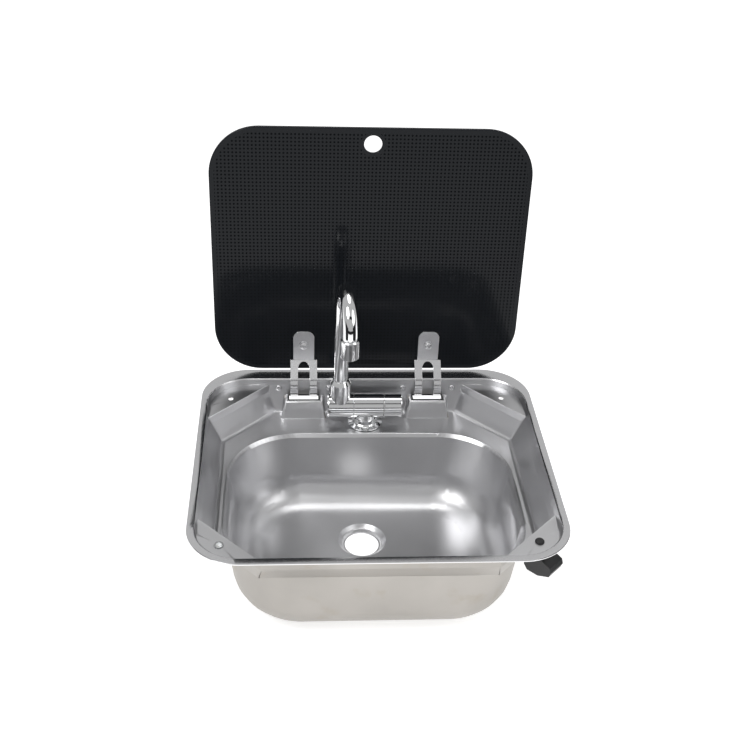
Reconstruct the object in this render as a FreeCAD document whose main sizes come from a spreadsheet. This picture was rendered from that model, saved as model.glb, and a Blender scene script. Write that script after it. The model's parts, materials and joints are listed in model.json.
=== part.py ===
import FreeCAD, Part

import math
import os

import Sketcher
from FreeCAD import Placement, Rotation, Vector

# Drop-in stainless sink for a camper, with a glass lid that folds down over it and a tap
# that folds down under the lid. Millimetres. The origin is the middle of the rim's
# underside, the plane that rests on the worktop: +X right, -Y towards the user, +Z up.
# Heights called a drop are measured down from the rim's top face.

SIZES = {
    # rim
    "rim_width": 420.0,
    "rim_depth": 370.0,
    "rim_corner": 60.0,
    "rim_thick": 2.0,
    "hem_width": 7.0,
    "sheet_thick": 0.8,
    "rim_edge_width": 0.5,
    # opening inside the rim
    "side_land": 8.5,
    "front_land": 10.0,
    "back_land": 22.5,
    "opening_corner": 51.0,
    # pressed tray: corner ledges, then a fold line, then the deck round the bowl
    "ledge_drop": 9.5,
    "fold_drop": 20.0,
    "deck_drop": 50.0,
    "side_fold_inset": 5.0,
    "front_fold_inset": 4.0,
    "side_deck_inset": 17.5,
    "front_deck_inset": 22.5,
    "back_deck_inset": 2.0,
    "front_chord": 300.0,
    "back_chord": 289.0,
    "chord_deck_inset": 15.0,
    "deck_width": 2.6,
    "ledge_width": 1.6,
    "roll_width": 1.2,
    # bowl
    "side_ledge_width": 34.0,
    "bowl_front": 151.0,
    "bowl_back": 111.0,
    "bowl_corner": 86.0,
    "bowl_depth": 98.0,
    "bead_drop": 4.0,
    "bead_inset": 4.0,
    "side_draft": 12.0,
    "front_draft": 2.0,
    "back_draft": 4.0,
    "cove_round": 40.0,
    # drain seat
    "drain_offset": 8.0,
    "drain_back": 17.0,
    "drain_seat_dia": 61.0,
    "drain_step_dia": 50.0,
    "drain_hole_dia": 43.0,
    "drain_step_drop": 4.0,
    "drain_recess": 8.0,
    "drain_lip": 1.6,
    # holes in the corner ledges
    "hole_in_from_side": 36.0,
    "hole_in_from_front": 40.0,
    "hole_in_from_back": 54.0,
    "ledge_hole_dia": 6.4,
    # hinge humps
    "hinge_across": 81.0,
    "hump_top_drop": 25.0,
    "hump_top_half": 25.0,
    "hump_foot_half": 29.0,
    "hump_front": 146.5,
    "hump_foot_front": 144.0,
    "hump_width": 2.4,
    "slot_half_length": 19.75,
    "slot_front": 150.2,
    "slot_back": 161.4,
    "slot_round": 0.3,
    "trim_lip": 1.0,
    "trim_wall": 0.8,
    "trim_leg": 5.0,
    "trim_round": 1.5,
    "trim_gap": 0.1,
    # lid
    "lid_width": 389.0,
    "lid_height": 325.0,
    "lid_thick": 5.0,
    "lid_corner": 60.0,
    "lid_lean": 3.0,
    "lid_back_edge": 157.0,
    "lid_rest_gap": 0.15,
    "finger_hole_dia": 21.5,
    "finger_hole_down": 20.0,
    "glass_edge_width": 0.8,
    "bumper_rise": 3.0,
    "bumper_dia": 10.4,
    # hinges
    "pivot_back": 173.9,
    "pivot_drop": 12.6,
    "pin_dia": 5.0,
    "pin_fit": 0.05,
    "pin_head_dia": 8.0,
    "pin_head_thick": 1.4,
    "strap_thick": 2.0,
    "strap_radius": 20.4,
    "strap_tail_angle": 238.0,
    "strap_half_width": 17.3,
    "strap_gap": 15.0,
    "strap_crotch": 1.5,
    "tongue_width": 27.0,
    "tongue_start": 14.5,
    "tongue_length": 41.5,
    "tongue_round": 9.0,
    "washer_dia": 13.0,
    "washer_thick": 1.0,
    "lid_bolt_up": 35.5,
    "lid_bolt_dia": 5.0,
    "lid_bolt_play": 0.5,
    "lid_head_dia": 9.5,
    "lid_head_rise": 2.75,
    "lid_key_flats": 3.0,
    "cap_nut_flats": 8.0,
    "cap_nut_thick": 4.0,
    "cap_nut_grip": 4.0,
    "pad_thick": 0.8,
    "ear_gap": 0.4,
    "ear_thick": 2.0,
    "ear_round": 5.6,
    "eye_round": 4.6,
    "bracket_half": 37.0,
    "bracket_half_height": 7.0,
    "bracket_round": 3.0,
    "wall_screw_spread": 32.5,
    "wall_screw_dia": 3.5,
    "wall_screw_play": 0.15,
    "wall_screw_drop": 14.0,
    "wall_head_dia": 8.0,
    "wall_head_rise": 2.6,
    "wall_nut_flats": 6.0,
    "wall_nut_thick": 2.8,
    # tap
    "tap_back": 136.0,
    "tap_across": 1.5,
    "tap_drop": 23.5,
    "barrel_dia": 32.0,
    "body_left": 15.5,
    "body_right": 23.0,
    "stem_dia": 27.0,
    "base_dia": 45.0,
    "base_rise": 9.0,
    "base_seal_dia": 40.0,
    "seal_thick": 1.0,
    "turn_gap": 0.3,
    "elbow_length": 34.0,
    "journal_dia": 21.9,
    "journal_length": 13.5,
    "seal_groove": 2.4,
    "seal_land": 2.4,
    "seal_deep": 1.5,
    "elbow_end_round": 2.5,
    "running_fit": 0.05,
    "water_way": 9.0,
    "elbow_way": 8.0,
    "collar_dia": 26.4,
    "collar_rise": 33.5,
    "collar_cap": 7.0,
    "swivel_seal_dia": 20.6,
    "swivel_seal_high": 3.0,
    "set_screw_in": 3.4,
    "set_screw_dia": 4.0,
    "set_screw_deep": 7.0,
    "spout_across": 34.0,
    "spout_dia": 17.8,
    "spout_wall": 1.2,
    "spout_reach": 76.0,
    "spout_arc_rise": 146.5,
    "spout_yaw": 4.5,
    "spout_foot": 18.0,
    "nozzle_dia": 22.0,
    "nozzle_length": 24.5,
    "nozzle_grip": 10.0,
    "aerator_dia": 18.4,
    "aerator_high": 8.0,
    "jet_dia": 2.6,
    "knob_length": 22.4,
    "knob_skin": 2.5,
    "knob_hollow": 8.0,
    "knob_hub_dia": 14.0,
    "knob_grub_in": 8.0,
    "knob_ring_dia": 34.0,
    "knob_ring_thick": 1.3,
    "cartridge_dia": 23.8,
    "cartridge_length": 16.5,
    "spindle_dia": 8.0,
    "tap_hole_dia": 22.0,
    "shank_dia": 20.0,
    "shank_length": 46.0,
    "shank_grip": 8.0,
    "backing_dia": 38.0,
    "backing_thick": 1.5,
    "locknut_across": 30.0,
    "locknut_thick": 8.0,
    "hose_tail_dia": 10.0,
    "hose_tail_length": 24.0,
    "hose_tail_bore": 7.0,
    "tail_grip": 6.0,
    # worktop clamp under the front right corner
    "clamp_width": 24.0,
    "clamp_drop": 34.0,
    "clamp_reach": 24.0,
    "clamp_back": 9.0,
    "clamp_screw_dia": 4.0,
    "clamp_head_dia": 7.4,
    "clamp_head_rise": 2.0,
}

CUT_OVER = 1.0  # how far a cutting form runs past the face that it opens
JETS_AROUND = 6
COVE_BANDS = 6  # conical bands that make the cove round the bowl's floor
OFFSET_SHARE = 0.35  # how much wider a bevel gets when its faces move out by one
QUARTER_TURN_SAG = 1 - math.sqrt(0.5)  # how far a quarter circle's middle is from its corner
UP = Vector(0, 0, 1)
RIGHT = Vector(1, 0, 0)

doc = FreeCAD.newDocument("rv_sink")
sheet = doc.addObject("Spreadsheet::Sheet", "dims")
NODES = {}


class Size:
    """A length or angle: the number it has now and the sheet formula that keeps it true."""

    def __init__(self, value, text):
        self.value = value
        self.text = text

    def __add__(self, other):
        return Size(self.value + number(other), f"({self.text} + {formula(other)})")

    def __sub__(self, other):
        return Size(self.value - number(other), f"({self.text} - {formula(other)})")

    def __mul__(self, other):
        return Size(self.value * number(other), f"({self.text} * {formula(other)})")

    def __truediv__(self, other):
        return Size(self.value / number(other), f"({self.text} / {formula(other)})")

    def __neg__(self):
        return Size(-self.value, f"(0 - {self.text})")

    def __radd__(self, other):
        return Size(number(other) + self.value, f"({formula(other)} + {self.text})")

    def __rsub__(self, other):
        return Size(number(other) - self.value, f"({formula(other)} - {self.text})")

    def __rmul__(self, other):
        return self * other


def number(length):
    return length.value if isinstance(length, Size) else float(length)


def formula(length):
    return length.text if isinstance(length, Size) else f"({float(length)!r})"


def sine(angle):
    return Size(math.sin(math.radians(angle.value)), f"sin({angle.text})")


def cosine(angle):
    return Size(math.cos(math.radians(angle.value)), f"cos({angle.text})")


def fill_sheet():
    """One row for each driving dimension, with its name as the alias of its value."""
    named = {}
    for row, (name, value) in enumerate(SIZES.items(), start=1):
        sheet.set(f"A{row}", name)
        sheet.set(f"B{row}", str(value))
        sheet.setAlias(f"B{row}", name)
        named[name] = Size(value, f"dims.{name}")
    doc.recompute()
    return named


S = fill_sheet()


def new_body(label):
    body = doc.addObject("PartDesign::Body", label)
    body.Label = label
    return body


def keep(label, item):
    """Names a finished sub-part: its label is its file's name."""
    item.Label = label
    NODES[label] = item
    return item


def bind(item, prop, length):
    """Sets a property, and ties it to the sheet where its length has a formula."""
    if isinstance(length, Size):
        item.setExpression(prop, length.text)
    else:
        item.setExpression(prop, formula(length))


def place(item, across=0.0, back=0.0, up=0.0, turn=None):
    """Puts a body at a point of the sink, turned about its own origin."""
    if turn is not None:
        item.Placement = Placement(Vector(), turn)
    for axis, length in zip("xyz", (across, back, up)):
        bind(item, f"Placement.Base.{axis}", length)


def new_sketch(body, plane, height=0.0):
    sketch = body.newObject("Sketcher::SketchObject", "Sketch")
    support = [face for face in body.Origin.OriginFeatures if face.Role == plane][0]
    sketch.AttachmentSupport = [(support, "")]
    sketch.MapMode = "FlatFace"
    bind(sketch, "AttachmentOffset.Base.z", height)
    return sketch


def pin_point(sketch, geometry, end, corner):
    """Holds one point of a sketch at its distances from the sketch's origin."""
    for kind, length in zip(("DistanceX", "DistanceY"), corner):
        rule = Sketcher.Constraint(kind, -1, 1, geometry, end, number(length))
        index = sketch.addConstraint(rule)
        if isinstance(length, Size):
            sketch.setExpression(f"Constraints[{index}]", length.text)


def polygon(body, plane, corners, height=0.0, arcs=None):
    """A closed outline through the corners; arcs maps a side's number to a point it bows to."""
    sketch = new_sketch(body, plane, height)
    spots = [Vector(number(across), number(along), 0) for across, along in corners]
    bows = arcs or {}
    for index, spot in enumerate(spots):
        following = spots[(index + 1) % len(spots)]
        if index in bows:
            crest = Vector(number(bows[index][0]), number(bows[index][1]), 0)
            sketch.addGeometry(Part.Arc(spot, crest, following), False)
        else:
            sketch.addGeometry(Part.LineSegment(spot, following), False)
    for index, corner in enumerate(corners):
        pin_point(sketch, index, begin_of(sketch, index, spots[index]), corner)
    for index in range(len(corners)):
        following = (index + 1) % len(corners)
        end = 3 - begin_of(sketch, index, spots[index])
        begin = begin_of(sketch, following, spots[following])
        sketch.addConstraint(Sketcher.Constraint("Coincident", index, end, following, begin))
    return sketch


def begin_of(sketch, index, spot):
    """Which end of a side, 1 or 2, lies at its first corner: arcs always run anticlockwise."""
    return 1 if sketch.getPoint(index, 1).distanceToPoint(spot) < 1e-6 else 2


def circles(body, plane, rings, height=0.0):
    """Circles given as (across, along, diameter)."""
    sketch = new_sketch(body, plane, height)
    for index, (across, along, diameter) in enumerate(rings):
        middle = Vector(number(across), number(along), 0)
        sketch.addGeometry(Part.Circle(middle, UP, number(diameter) / 2), False)
        pin_point(sketch, index, 3, (across, along))
        rule = Sketcher.Constraint("Diameter", index, number(diameter))
        datum = sketch.addConstraint(rule)
        if isinstance(diameter, Size):
            sketch.setExpression(f"Constraints[{datum}]", diameter.text)
    return sketch


def rounded_box(body, plane, low, high, corner, height=0.0):
    """A rectangle from its low to its high corner, with four tangent corner arcs."""
    sketch = new_sketch(body, plane, height)
    left, front = number(low[0]), number(low[1])
    right, back = number(high[0]), number(high[1])
    radius = number(corner)
    middles = [
        Vector(left + radius, front + radius, 0),
        Vector(right - radius, front + radius, 0),
        Vector(right - radius, back - radius, 0),
        Vector(left + radius, back - radius, 0),
    ]
    sides = [
        (Vector(left + radius, front, 0), Vector(right - radius, front, 0)),
        (Vector(right, front + radius, 0), Vector(right, back - radius, 0)),
        (Vector(right - radius, back, 0), Vector(left + radius, back, 0)),
        (Vector(left, back - radius, 0), Vector(left, front + radius, 0)),
    ]
    for index, (begin, end) in enumerate(sides):
        sketch.addGeometry(Part.LineSegment(begin, end), False)
        start = -math.pi / 2 + index * math.pi / 2
        circle = Part.Circle(middles[(index + 1) % 4], UP, radius)
        sketch.addGeometry(Part.ArcOfCircle(circle, start, start + math.pi / 2), False)
    for index in range(4):
        line, arc, following = 2 * index, 2 * index + 1, (2 * index + 2) % 8
        sketch.addConstraint(Sketcher.Constraint("Tangent", line, 2, arc, 1))
        sketch.addConstraint(Sketcher.Constraint("Tangent", arc, 2, following, 1))
    sketch.addConstraint(Sketcher.Constraint("Horizontal", 0))
    sketch.addConstraint(Sketcher.Constraint("Vertical", 2))
    sketch.addConstraint(Sketcher.Constraint("Horizontal", 4))
    sketch.addConstraint(Sketcher.Constraint("Vertical", 6))
    for arc in (3, 5, 7):
        sketch.addConstraint(Sketcher.Constraint("Equal", 1, arc))
    rules = [
        (Sketcher.Constraint("Radius", 1, radius), corner),
        (Sketcher.Constraint("DistanceY", -1, 1, 0, 1, front), low[1]),
        (Sketcher.Constraint("DistanceX", -1, 1, 2, 1, right), high[0]),
        (Sketcher.Constraint("DistanceY", -1, 1, 4, 1, back), high[1]),
        (Sketcher.Constraint("DistanceX", -1, 1, 6, 1, left), low[0]),
    ]
    for rule, length in rules:
        index = sketch.addConstraint(rule)
        if isinstance(length, Size):
            sketch.setExpression(f"Constraints[{index}]", length.text)
    return sketch


def pad(body, sketch, length, both_ways=False):
    feature = body.newObject("PartDesign::Pad", "Pad")
    feature.Profile = sketch
    feature.Length = number(length)
    bind(feature, "Length", length)
    if both_ways:
        feature.SideType = "Symmetric"
    return feature


def pocket(body, sketch, length, against=False, both_ways=False):
    """Cuts down from the sketch, or up from it where against is set."""
    feature = body.newObject("PartDesign::Pocket", "Pocket")
    feature.Profile = sketch
    feature.Length = number(length)
    bind(feature, "Length", length)
    feature.Reversed = against
    if both_ways:
        feature.SideType = "Symmetric"
    return feature


def loft(body, sections, kind="PartDesign::AdditiveLoft"):
    feature = body.newObject(kind, "Loft")
    feature.Profile = sections[0]
    feature.Sections = sections[1:]
    feature.Ruled = True
    return feature


def turn(body, corners, across=0.0, back=0.0, kind="PartDesign::Revolution"):
    """Spins an outline of (radius, height) corners about an upright axis of the body."""
    moved = [(radius + across, height) for radius, height in corners]
    sketch = polygon(body, "XZ_Plane", moved, -back)
    foot = Vector(number(across), 0, 0)
    spine = sketch.addGeometry(Part.LineSegment(foot, foot + UP.cross(RIGHT)), True)
    pin_point(sketch, spine, 1, (across, 0.0))
    pin_point(sketch, spine, 2, (across, 1.0))
    feature = body.newObject(kind, "Turned")
    feature.Profile = sketch
    feature.ReferenceAxis = (sketch, ["Axis0"])
    feature.Angle = 360.0
    return feature


def turn_level(body, corners, back, up, kind="PartDesign::Revolution"):
    """Spins an outline of (across, radius) corners about a level axis that runs along X."""
    moved = [(across, up + radius) for across, radius in corners]
    sketch = polygon(body, "XZ_Plane", moved, -back)
    foot = Vector(0, number(up), 0)
    spine = sketch.addGeometry(Part.LineSegment(foot, foot + RIGHT), True)
    pin_point(sketch, spine, 1, (0.0, up))
    pin_point(sketch, spine, 2, (1.0, up))
    feature = body.newObject(kind, "Turned")
    feature.Profile = sketch
    feature.ReferenceAxis = (sketch, ["Axis0"])
    feature.Angle = 360.0
    return feature


def soften(body, width, chosen):
    """Bevels the edges of the body so far that chosen(edge) picks."""
    doc.recompute()
    so_far = body.Tip
    edges = [
        f"Edge{index}"
        for index, edge in enumerate(so_far.Shape.Edges, start=1)
        if chosen(edge)
    ]
    if not edges:
        raise ValueError(f"{body.Label}: no edge to bevel")
    feature = body.newObject("PartDesign::Chamfer", "Softened")
    feature.Base = (so_far, edges)
    feature.Size = number(width)
    bind(feature, "Size", width)
    return feature


def at_height(height):
    """Picks the edges that lie flat at one height of the body's own frame."""

    def chosen(edge):
        box = edge.BoundBox
        return abs(box.ZMin - number(height)) < 0.01 and abs(box.ZMax - number(height)) < 0.01

    return chosen


def chords_at(height):
    """Picks the straight edges that cut a corner off at 45 degrees at one height."""
    level = at_height(height)

    def chosen(edge):
        box = edge.BoundBox
        slanted = abs((box.XMax - box.XMin) - (box.YMax - box.YMin)) < 0.5
        return level(edge) and slanted and edge.Curve.TypeId == "Part::GeomLine"

    return chosen


def inside_of(height, half, front, back):
    """Picks the flat edges at a height that lie within an outline's own reach."""
    level = at_height(height)
    near = 0.1

    def chosen(edge):
        box = edge.BoundBox
        in_width = max(box.XMax, -box.XMin) < number(half) + near
        in_depth = box.YMax < number(back) + near and -box.YMin < number(front) + near
        return level(edge) and in_width and in_depth

    return chosen


def combine(kind, label, first, second):
    """A boolean of two solids: Part::Cut, Part::Fuse or Part::Common."""
    result = doc.addObject(kind, label)
    result.Base = first
    result.Tool = second
    result.Label = label
    return result


def group(label, pieces):
    """Several solids that share one node."""
    result = doc.addObject("Part::Compound", label)
    result.Links = pieces
    return keep(label, result)


def ring(label, outer, inner, low, high):
    """An upright washer or sleeve between two heights."""
    body = new_body(label)
    turn(body, [(inner / 2, low), (outer / 2, low), (outer / 2, high), (inner / 2, high)])
    return body


def hexagon(flats):
    """The corners of a hexagon about the origin, from its width across the flats."""
    reach = flats / math.sqrt(3)
    angles = [math.radians(60 * step) for step in range(6)]
    return [(reach * math.cos(angle), reach * math.sin(angle)) for angle in angles]


def cross_recess(half_length, half_width):
    quarter = [(half_length, half_width), (half_width, half_width), (half_width, half_length)]
    corners = []
    for _ in range(4):
        corners += quarter
        quarter = [(-along, across) for across, along in quarter]
    return corners


def screw(label, dia, length, head_dia, head_rise, recess):
    """A domed-head screw: its head above the origin and its shank below."""
    body = new_body(label)
    radius, head = dia / 2, head_dia / 2
    profile = [
        (0.0, -length),
        (radius - 0.4, -length),
        (radius, 0.4 - length),
        (radius, 0.0),
        (head, 0.0),
        (head, head_rise * 0.35),
        (head * 0.82, head_rise * 0.8),
        (head * 0.45, head_rise),
        (0.0, head_rise),
    ]
    turn(body, profile)
    pocket(body, polygon(body, "XY_Plane", recess, head_rise + CUT_OVER), head_rise * 0.55 + 1)
    return body


def hex_nut(label, flats, thick, bore):
    body = new_body(label)
    pad(body, polygon(body, "XY_Plane", hexagon(flats)), thick)
    if bore is not None:
        pocket(body, circles(body, "XY_Plane", [(0.0, 0.0, bore)], thick + 1), thick + 2)
    return body


# ---------------------------------------------------------------- heights and outlines

rim_top = S["rim_thick"]
ledge_up = rim_top - S["ledge_drop"]
fold_up = rim_top - S["fold_drop"]
deck_up = rim_top - S["deck_drop"]
floor_up = deck_up - S["bowl_depth"]
hump_up = rim_top - S["hump_top_drop"]
rim_half = S["rim_width"] / 2
rim_out = S["rim_depth"] / 2
bowl_half = rim_half - S["side_ledge_width"]
hole_across = rim_half - S["hole_in_from_side"]
front_hole_out = rim_out - S["hole_in_from_front"]
back_hole_out = rim_out - S["hole_in_from_back"]
opening_half = rim_half - S["side_land"]
opening_front = rim_out - S["front_land"]
opening_back = rim_out - S["back_land"]
wall_rear_face = opening_back + S["sheet_thick"]
pivot_up = rim_top - S["pivot_drop"]
bumper_top = ledge_up + S["bumper_rise"]
lid_closed_up = bumper_top + S["lid_rest_gap"]
closing = S["lid_lean"] + 90
lid_rear = S["lid_back_edge"] - S["pivot_back"]
lid_over_pin = lid_closed_up - pivot_up
# the lid's lower front edge when it stands open: its closed place turned back about the pin
lid_foot_back = S["pivot_back"] + lid_rear * cosine(closing) + lid_over_pin * sine(closing)
lid_foot_up = pivot_up - lid_rear * sine(closing) + lid_over_pin * cosine(closing)
tap_up = rim_top - S["tap_drop"]
stem_foot = deck_up + S["seal_thick"]


# ------------------------------------------------------------------------ basin

def tray_outline(half, front, back, front_chord, back_chord):
    """Eight corners: straight sides with the four corners cut off at 45 degrees."""
    return [
        (front_chord - front, -front),
        (half, half - front_chord),
        (half, back_chord - half),
        (back_chord - back, back),
        (back - back_chord, back),
        (-half, back_chord - half),
        (-half, half - front_chord),
        (front - front_chord, -front),
    ]


def press_form(label, grow):
    """The solid that the sheet is drawn over; grown by the sheet's thickness it is the outside."""
    body = new_body(label)
    fraction = S["ledge_drop"] / S["fold_drop"]
    levels = {
        "rim": (opening_half, opening_front, rim_top),
        "ledge": (
            opening_half - S["side_fold_inset"] * fraction,
            opening_front - S["front_fold_inset"] * fraction,
            ledge_up - grow,
        ),
        "fold": (
            opening_half - S["side_fold_inset"],
            opening_front - S["front_fold_inset"],
            fold_up - grow,
        ),
        "deck": (
            opening_half - S["side_deck_inset"],
            opening_front - S["front_deck_inset"],
            deck_up - grow,
        ),
    }

    def upper(level, corner_inset):
        half, front, height = levels[level]
        low = (-(half + grow), -(front + grow))
        high = (half + grow, opening_back + grow)
        corner = S["opening_corner"] - corner_inset + grow
        return rounded_box(body, "XY_Plane", low, high, corner, height)

    def octagon(level, back_inset, chord_inset):
        half, front, height = levels[level]
        outline = tray_outline(
            half + grow,
            front + grow,
            opening_back - back_inset + grow,
            S["front_chord"] - chord_inset + grow * math.sqrt(2),
            S["back_chord"] - chord_inset * 0.7 + grow * math.sqrt(2),
        )
        return polygon(body, "XY_Plane", outline, height)

    loft(body, [upper("rim", 0.0), upper("ledge", S["side_fold_inset"] * fraction)])
    loft(body, [octagon("ledge", 0.0, 0.0), octagon("fold", 0.0, 0.0)])
    loft(
        body,
        [
            octagon("fold", 0.0, 0.0),
            octagon("deck", S["back_deck_inset"], S["chord_deck_inset"]),
        ],
    )
    soften(body, S["deck_width"] + grow * OFFSET_SHARE, at_height(deck_up - grow))
    soften(body, S["ledge_width"] - grow * OFFSET_SHARE, chords_at(ledge_up - grow))
    bowl_walls(body, grow)
    drain_seat(body, grow)
    return body


def bowl_walls(body, grow):
    """The bowl: a beaded edge, drafted walls and a wide cove round the floor."""
    bead, cove = S["bead_inset"], S["cove_round"] + grow
    wall = S["bowl_depth"] - S["bead_drop"]

    def section(drop, pulled_in, draft_share):
        """The outline at a drop below the deck, pulled in from the drafted wall."""
        inward = pulled_in - grow
        half = bowl_half - S["side_draft"] * draft_share - inward
        low = (-half, S["front_draft"] * draft_share + inward - S["bowl_front"])
        high = (half, S["bowl_back"] - S["back_draft"] * draft_share - inward)
        corner = S["bowl_corner"] - S["side_draft"] * draft_share * 0.5 - inward
        return rounded_box(body, "XY_Plane", low, high, corner, deck_up - drop - grow)

    neck = section(S["bead_drop"], bead, 0.0)
    loft(body, [section(0.0, 0.0, 0.0), neck])
    sections = [neck]
    for step in range(COVE_BANDS + 1):
        turned = math.radians(90 * step / COVE_BANDS)
        above = S["cove_round"] * (1 - math.sin(turned))
        drop = S["bowl_depth"] - cove * (1 - math.sin(turned))
        share = (wall - above) / wall
        sections.append(section(drop, bead + cove * (1 - math.cos(turned)), share))
    loft(body, sections)


def drain_seat(body, grow):
    """A stepped dish pressed into the floor round the waste hole."""
    seat = S["drain_seat_dia"] / 2 + grow
    step = S["drain_step_dia"] / 2 + grow
    neck = S["drain_hole_dia"] / 2 + S["drain_lip"] + grow
    profile = [
        (0.0, CUT_OVER),
        (seat, CUT_OVER),
        (seat, -grow),
        (step + 1.5, -S["drain_step_drop"] - grow),
        (step, -S["drain_step_drop"] - 0.6 - grow),
        (neck, -S["drain_recess"] - grow),
        (0.0, -S["drain_recess"] - grow),
    ]
    raised = [(radius, floor_up + height) for radius, height in profile]
    turn(body, raised, across=-S["drain_offset"], back=S["drain_back"])


def hump_form(label, across, grow):
    """The wedge pressed into the back wall over a hinge; its open back lies behind the wall."""
    body = new_body(label)

    def section(half, front, height):
        low = (across - half + grow, front + grow)
        high = (across + half - grow, wall_rear_face + CUT_OVER)
        corners = [low, (high[0], low[1]), high, (low[0], high[1])]
        return polygon(body, "XY_Plane", corners, height)

    foot_up = deck_up - S["sheet_thick"] - grow - CUT_OVER
    foot = section(S["hump_foot_half"], S["hump_foot_front"], foot_up)
    top = section(S["hump_top_half"], S["hump_front"], hump_up - grow)
    loft(body, [top, foot])
    front = number(S["hump_front"] + grow)

    def front_or_top(edge):
        box = edge.BoundBox
        at_top = box.ZMin > number(hump_up - grow) - 0.01
        return box.YMin < front + 0.01 or at_top and box.YMax - box.YMin > 10

    def not_the_foot(edge):
        return front_or_top(edge) and edge.BoundBox.ZMax > number(foot_up) + 0.01

    soften(body, S["hump_width"] - grow * OFFSET_SHARE, not_the_foot)
    return body


def open_mouth(form):
    """Carries the hollow past the rim, so that cutting it leaves the rim's rolled edge."""
    spread = S["roll_width"] * 3
    low = (-(opening_half + spread), -(opening_front + spread))
    high = (opening_half + spread, opening_back + spread)
    corner = S["opening_corner"] + spread
    pad(form, rounded_box(form, "XY_Plane", low, high, corner, rim_top), CUT_OVER)
    rolled = inside_of(rim_top, opening_half, opening_front, opening_back)
    soften(form, S["roll_width"], rolled)


def pressed_form(label, grow):
    form = press_form(f"{label}_form", grow)
    if label == "inner":
        open_mouth(form)
    for side, sign in SIDES.items():
        hump = hump_form(f"{label}_hump_{side}", S["hinge_across"] * sign, grow)
        form = combine("Part::Cut", f"{label}_less_{side}", form, hump)
    return form


def rim_plate():
    """The flat rim: one sheet thick, with its edge hemmed to the full thickness."""
    body = new_body("rim_plate")

    def outline(inset, height):
        low = (inset - rim_half, inset - rim_out)
        high = (rim_half - inset, rim_out - inset)
        return rounded_box(body, "XY_Plane", low, high, S["rim_corner"] - inset, height)

    pad(body, outline(0.0, 0.0), rim_top)
    hollow = rim_top - S["sheet_thick"]
    pocket(body, outline(S["hem_width"], 0.0), hollow, against=True)
    soften(body, S["rim_edge_width"], outermost(rim_half, rim_out))
    return body


def outermost(half, out):
    """Picks the edges of a plate that lie on its outer outline."""

    def chosen(edge):
        box = edge.BoundBox
        wide = box.XMax > number(half) - 0.01 or box.XMin < 0.01 - number(half)
        deep = box.YMax > number(out) - 0.01 or box.YMin < 0.01 - number(out)
        level = box.ZMax - box.ZMin < 0.01
        return level and (wide or deep)

    return chosen


def basin():
    inner = pressed_form("inner", 0.0)
    outer = pressed_form("outer", S["sheet_thick"])
    blank = combine("Part::Fuse", "basin_blank", rim_plate(), outer)
    hollowed = combine("Part::Cut", "basin_hollowed", blank, inner)
    doc.recompute()
    shell = new_body("basin_shell")
    shell.BaseFeature = hollowed
    drop = S["sheet_thick"] + 2 * CUT_OVER
    ledge_holes = [
        (hole_across * sign, along, S["ledge_hole_dia"])
        for sign in SIDES.values()
        for along in (-front_hole_out, back_hole_out)
    ]
    drain = [(-S["drain_offset"], S["drain_back"], S["drain_hole_dia"])]
    tap_hole = [(-S["tap_across"], S["tap_back"], S["tap_hole_dia"])]
    for rings, surface in (
        (ledge_holes, ledge_up),
        (drain, floor_up - S["drain_recess"]),
        (tap_hole, deck_up),
    ):
        pocket(shell, circles(shell, "XY_Plane", rings, surface + CUT_OVER), drop)
    for sign in SIDES.values():
        middle = S["hinge_across"] * sign
        half = S["slot_half_length"]
        low = (middle - half, S["slot_front"])
        high = (middle + half, S["slot_back"])
        slot = rounded_box(shell, "XY_Plane", low, high, S["slot_round"], hump_up + CUT_OVER)
        pocket(shell, slot, drop)
    screw_holes = [
        (S["hinge_across"] * sign + S["wall_screw_spread"] * way, screw_up, WALL_HOLE)
        for sign in SIDES.values()
        for way in SIDES.values()
    ]
    wall_front = opening_back - CUT_OVER
    pocket(shell, circles(shell, "XZ_Plane", screw_holes, -wall_front), drop)
    return keep("basin_shell", shell)


def slot_trim(side, sign):
    """A black frame that lines the slot; it has no back leg, so that the strap can pass."""
    body = new_body(f"slot_trim_{side}")
    half, lip, wall = S["slot_half_length"], S["trim_lip"], S["trim_wall"]
    front, back, gap = S["slot_front"], S["slot_back"], S["trim_gap"]
    inside = half - wall
    low, high = (-(half + lip), front - lip + gap), (half + lip, back + lip / 2)
    pad(body, rounded_box(body, "XY_Plane", low, high, S["trim_round"], hump_up), wall)
    leg = half - gap
    leg_back = back - 2 * gap
    legs = [(-leg, front + gap), (leg, front + gap), (leg, leg_back), (-leg, leg_back)]
    foot = hump_up - S["trim_leg"]
    pad(body, polygon(body, "XY_Plane", legs, foot), S["trim_leg"] + wall / 2)
    near = front + wall + gap
    hole = [(-inside, near), (inside, near), (inside, leg_back), (-inside, leg_back)]
    top = hump_up + CUT_OVER
    pocket(body, polygon(body, "XY_Plane", hole, top), S["trim_leg"] + 2 * CUT_OVER)
    place(body, across=S["hinge_across"] * sign)
    return keep(f"slot_trim_{side}", body)


SIDES = {"left": -1.0, "right": 1.0}
screw_up = rim_top - S["wall_screw_drop"]
WALL_HOLE = S["wall_screw_dia"] + 2 * S["wall_screw_play"]
basin()
for side, sign in SIDES.items():
    slot_trim(side, sign)


# ------------------------------------------------------------------ corner bumpers, clamp

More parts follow.
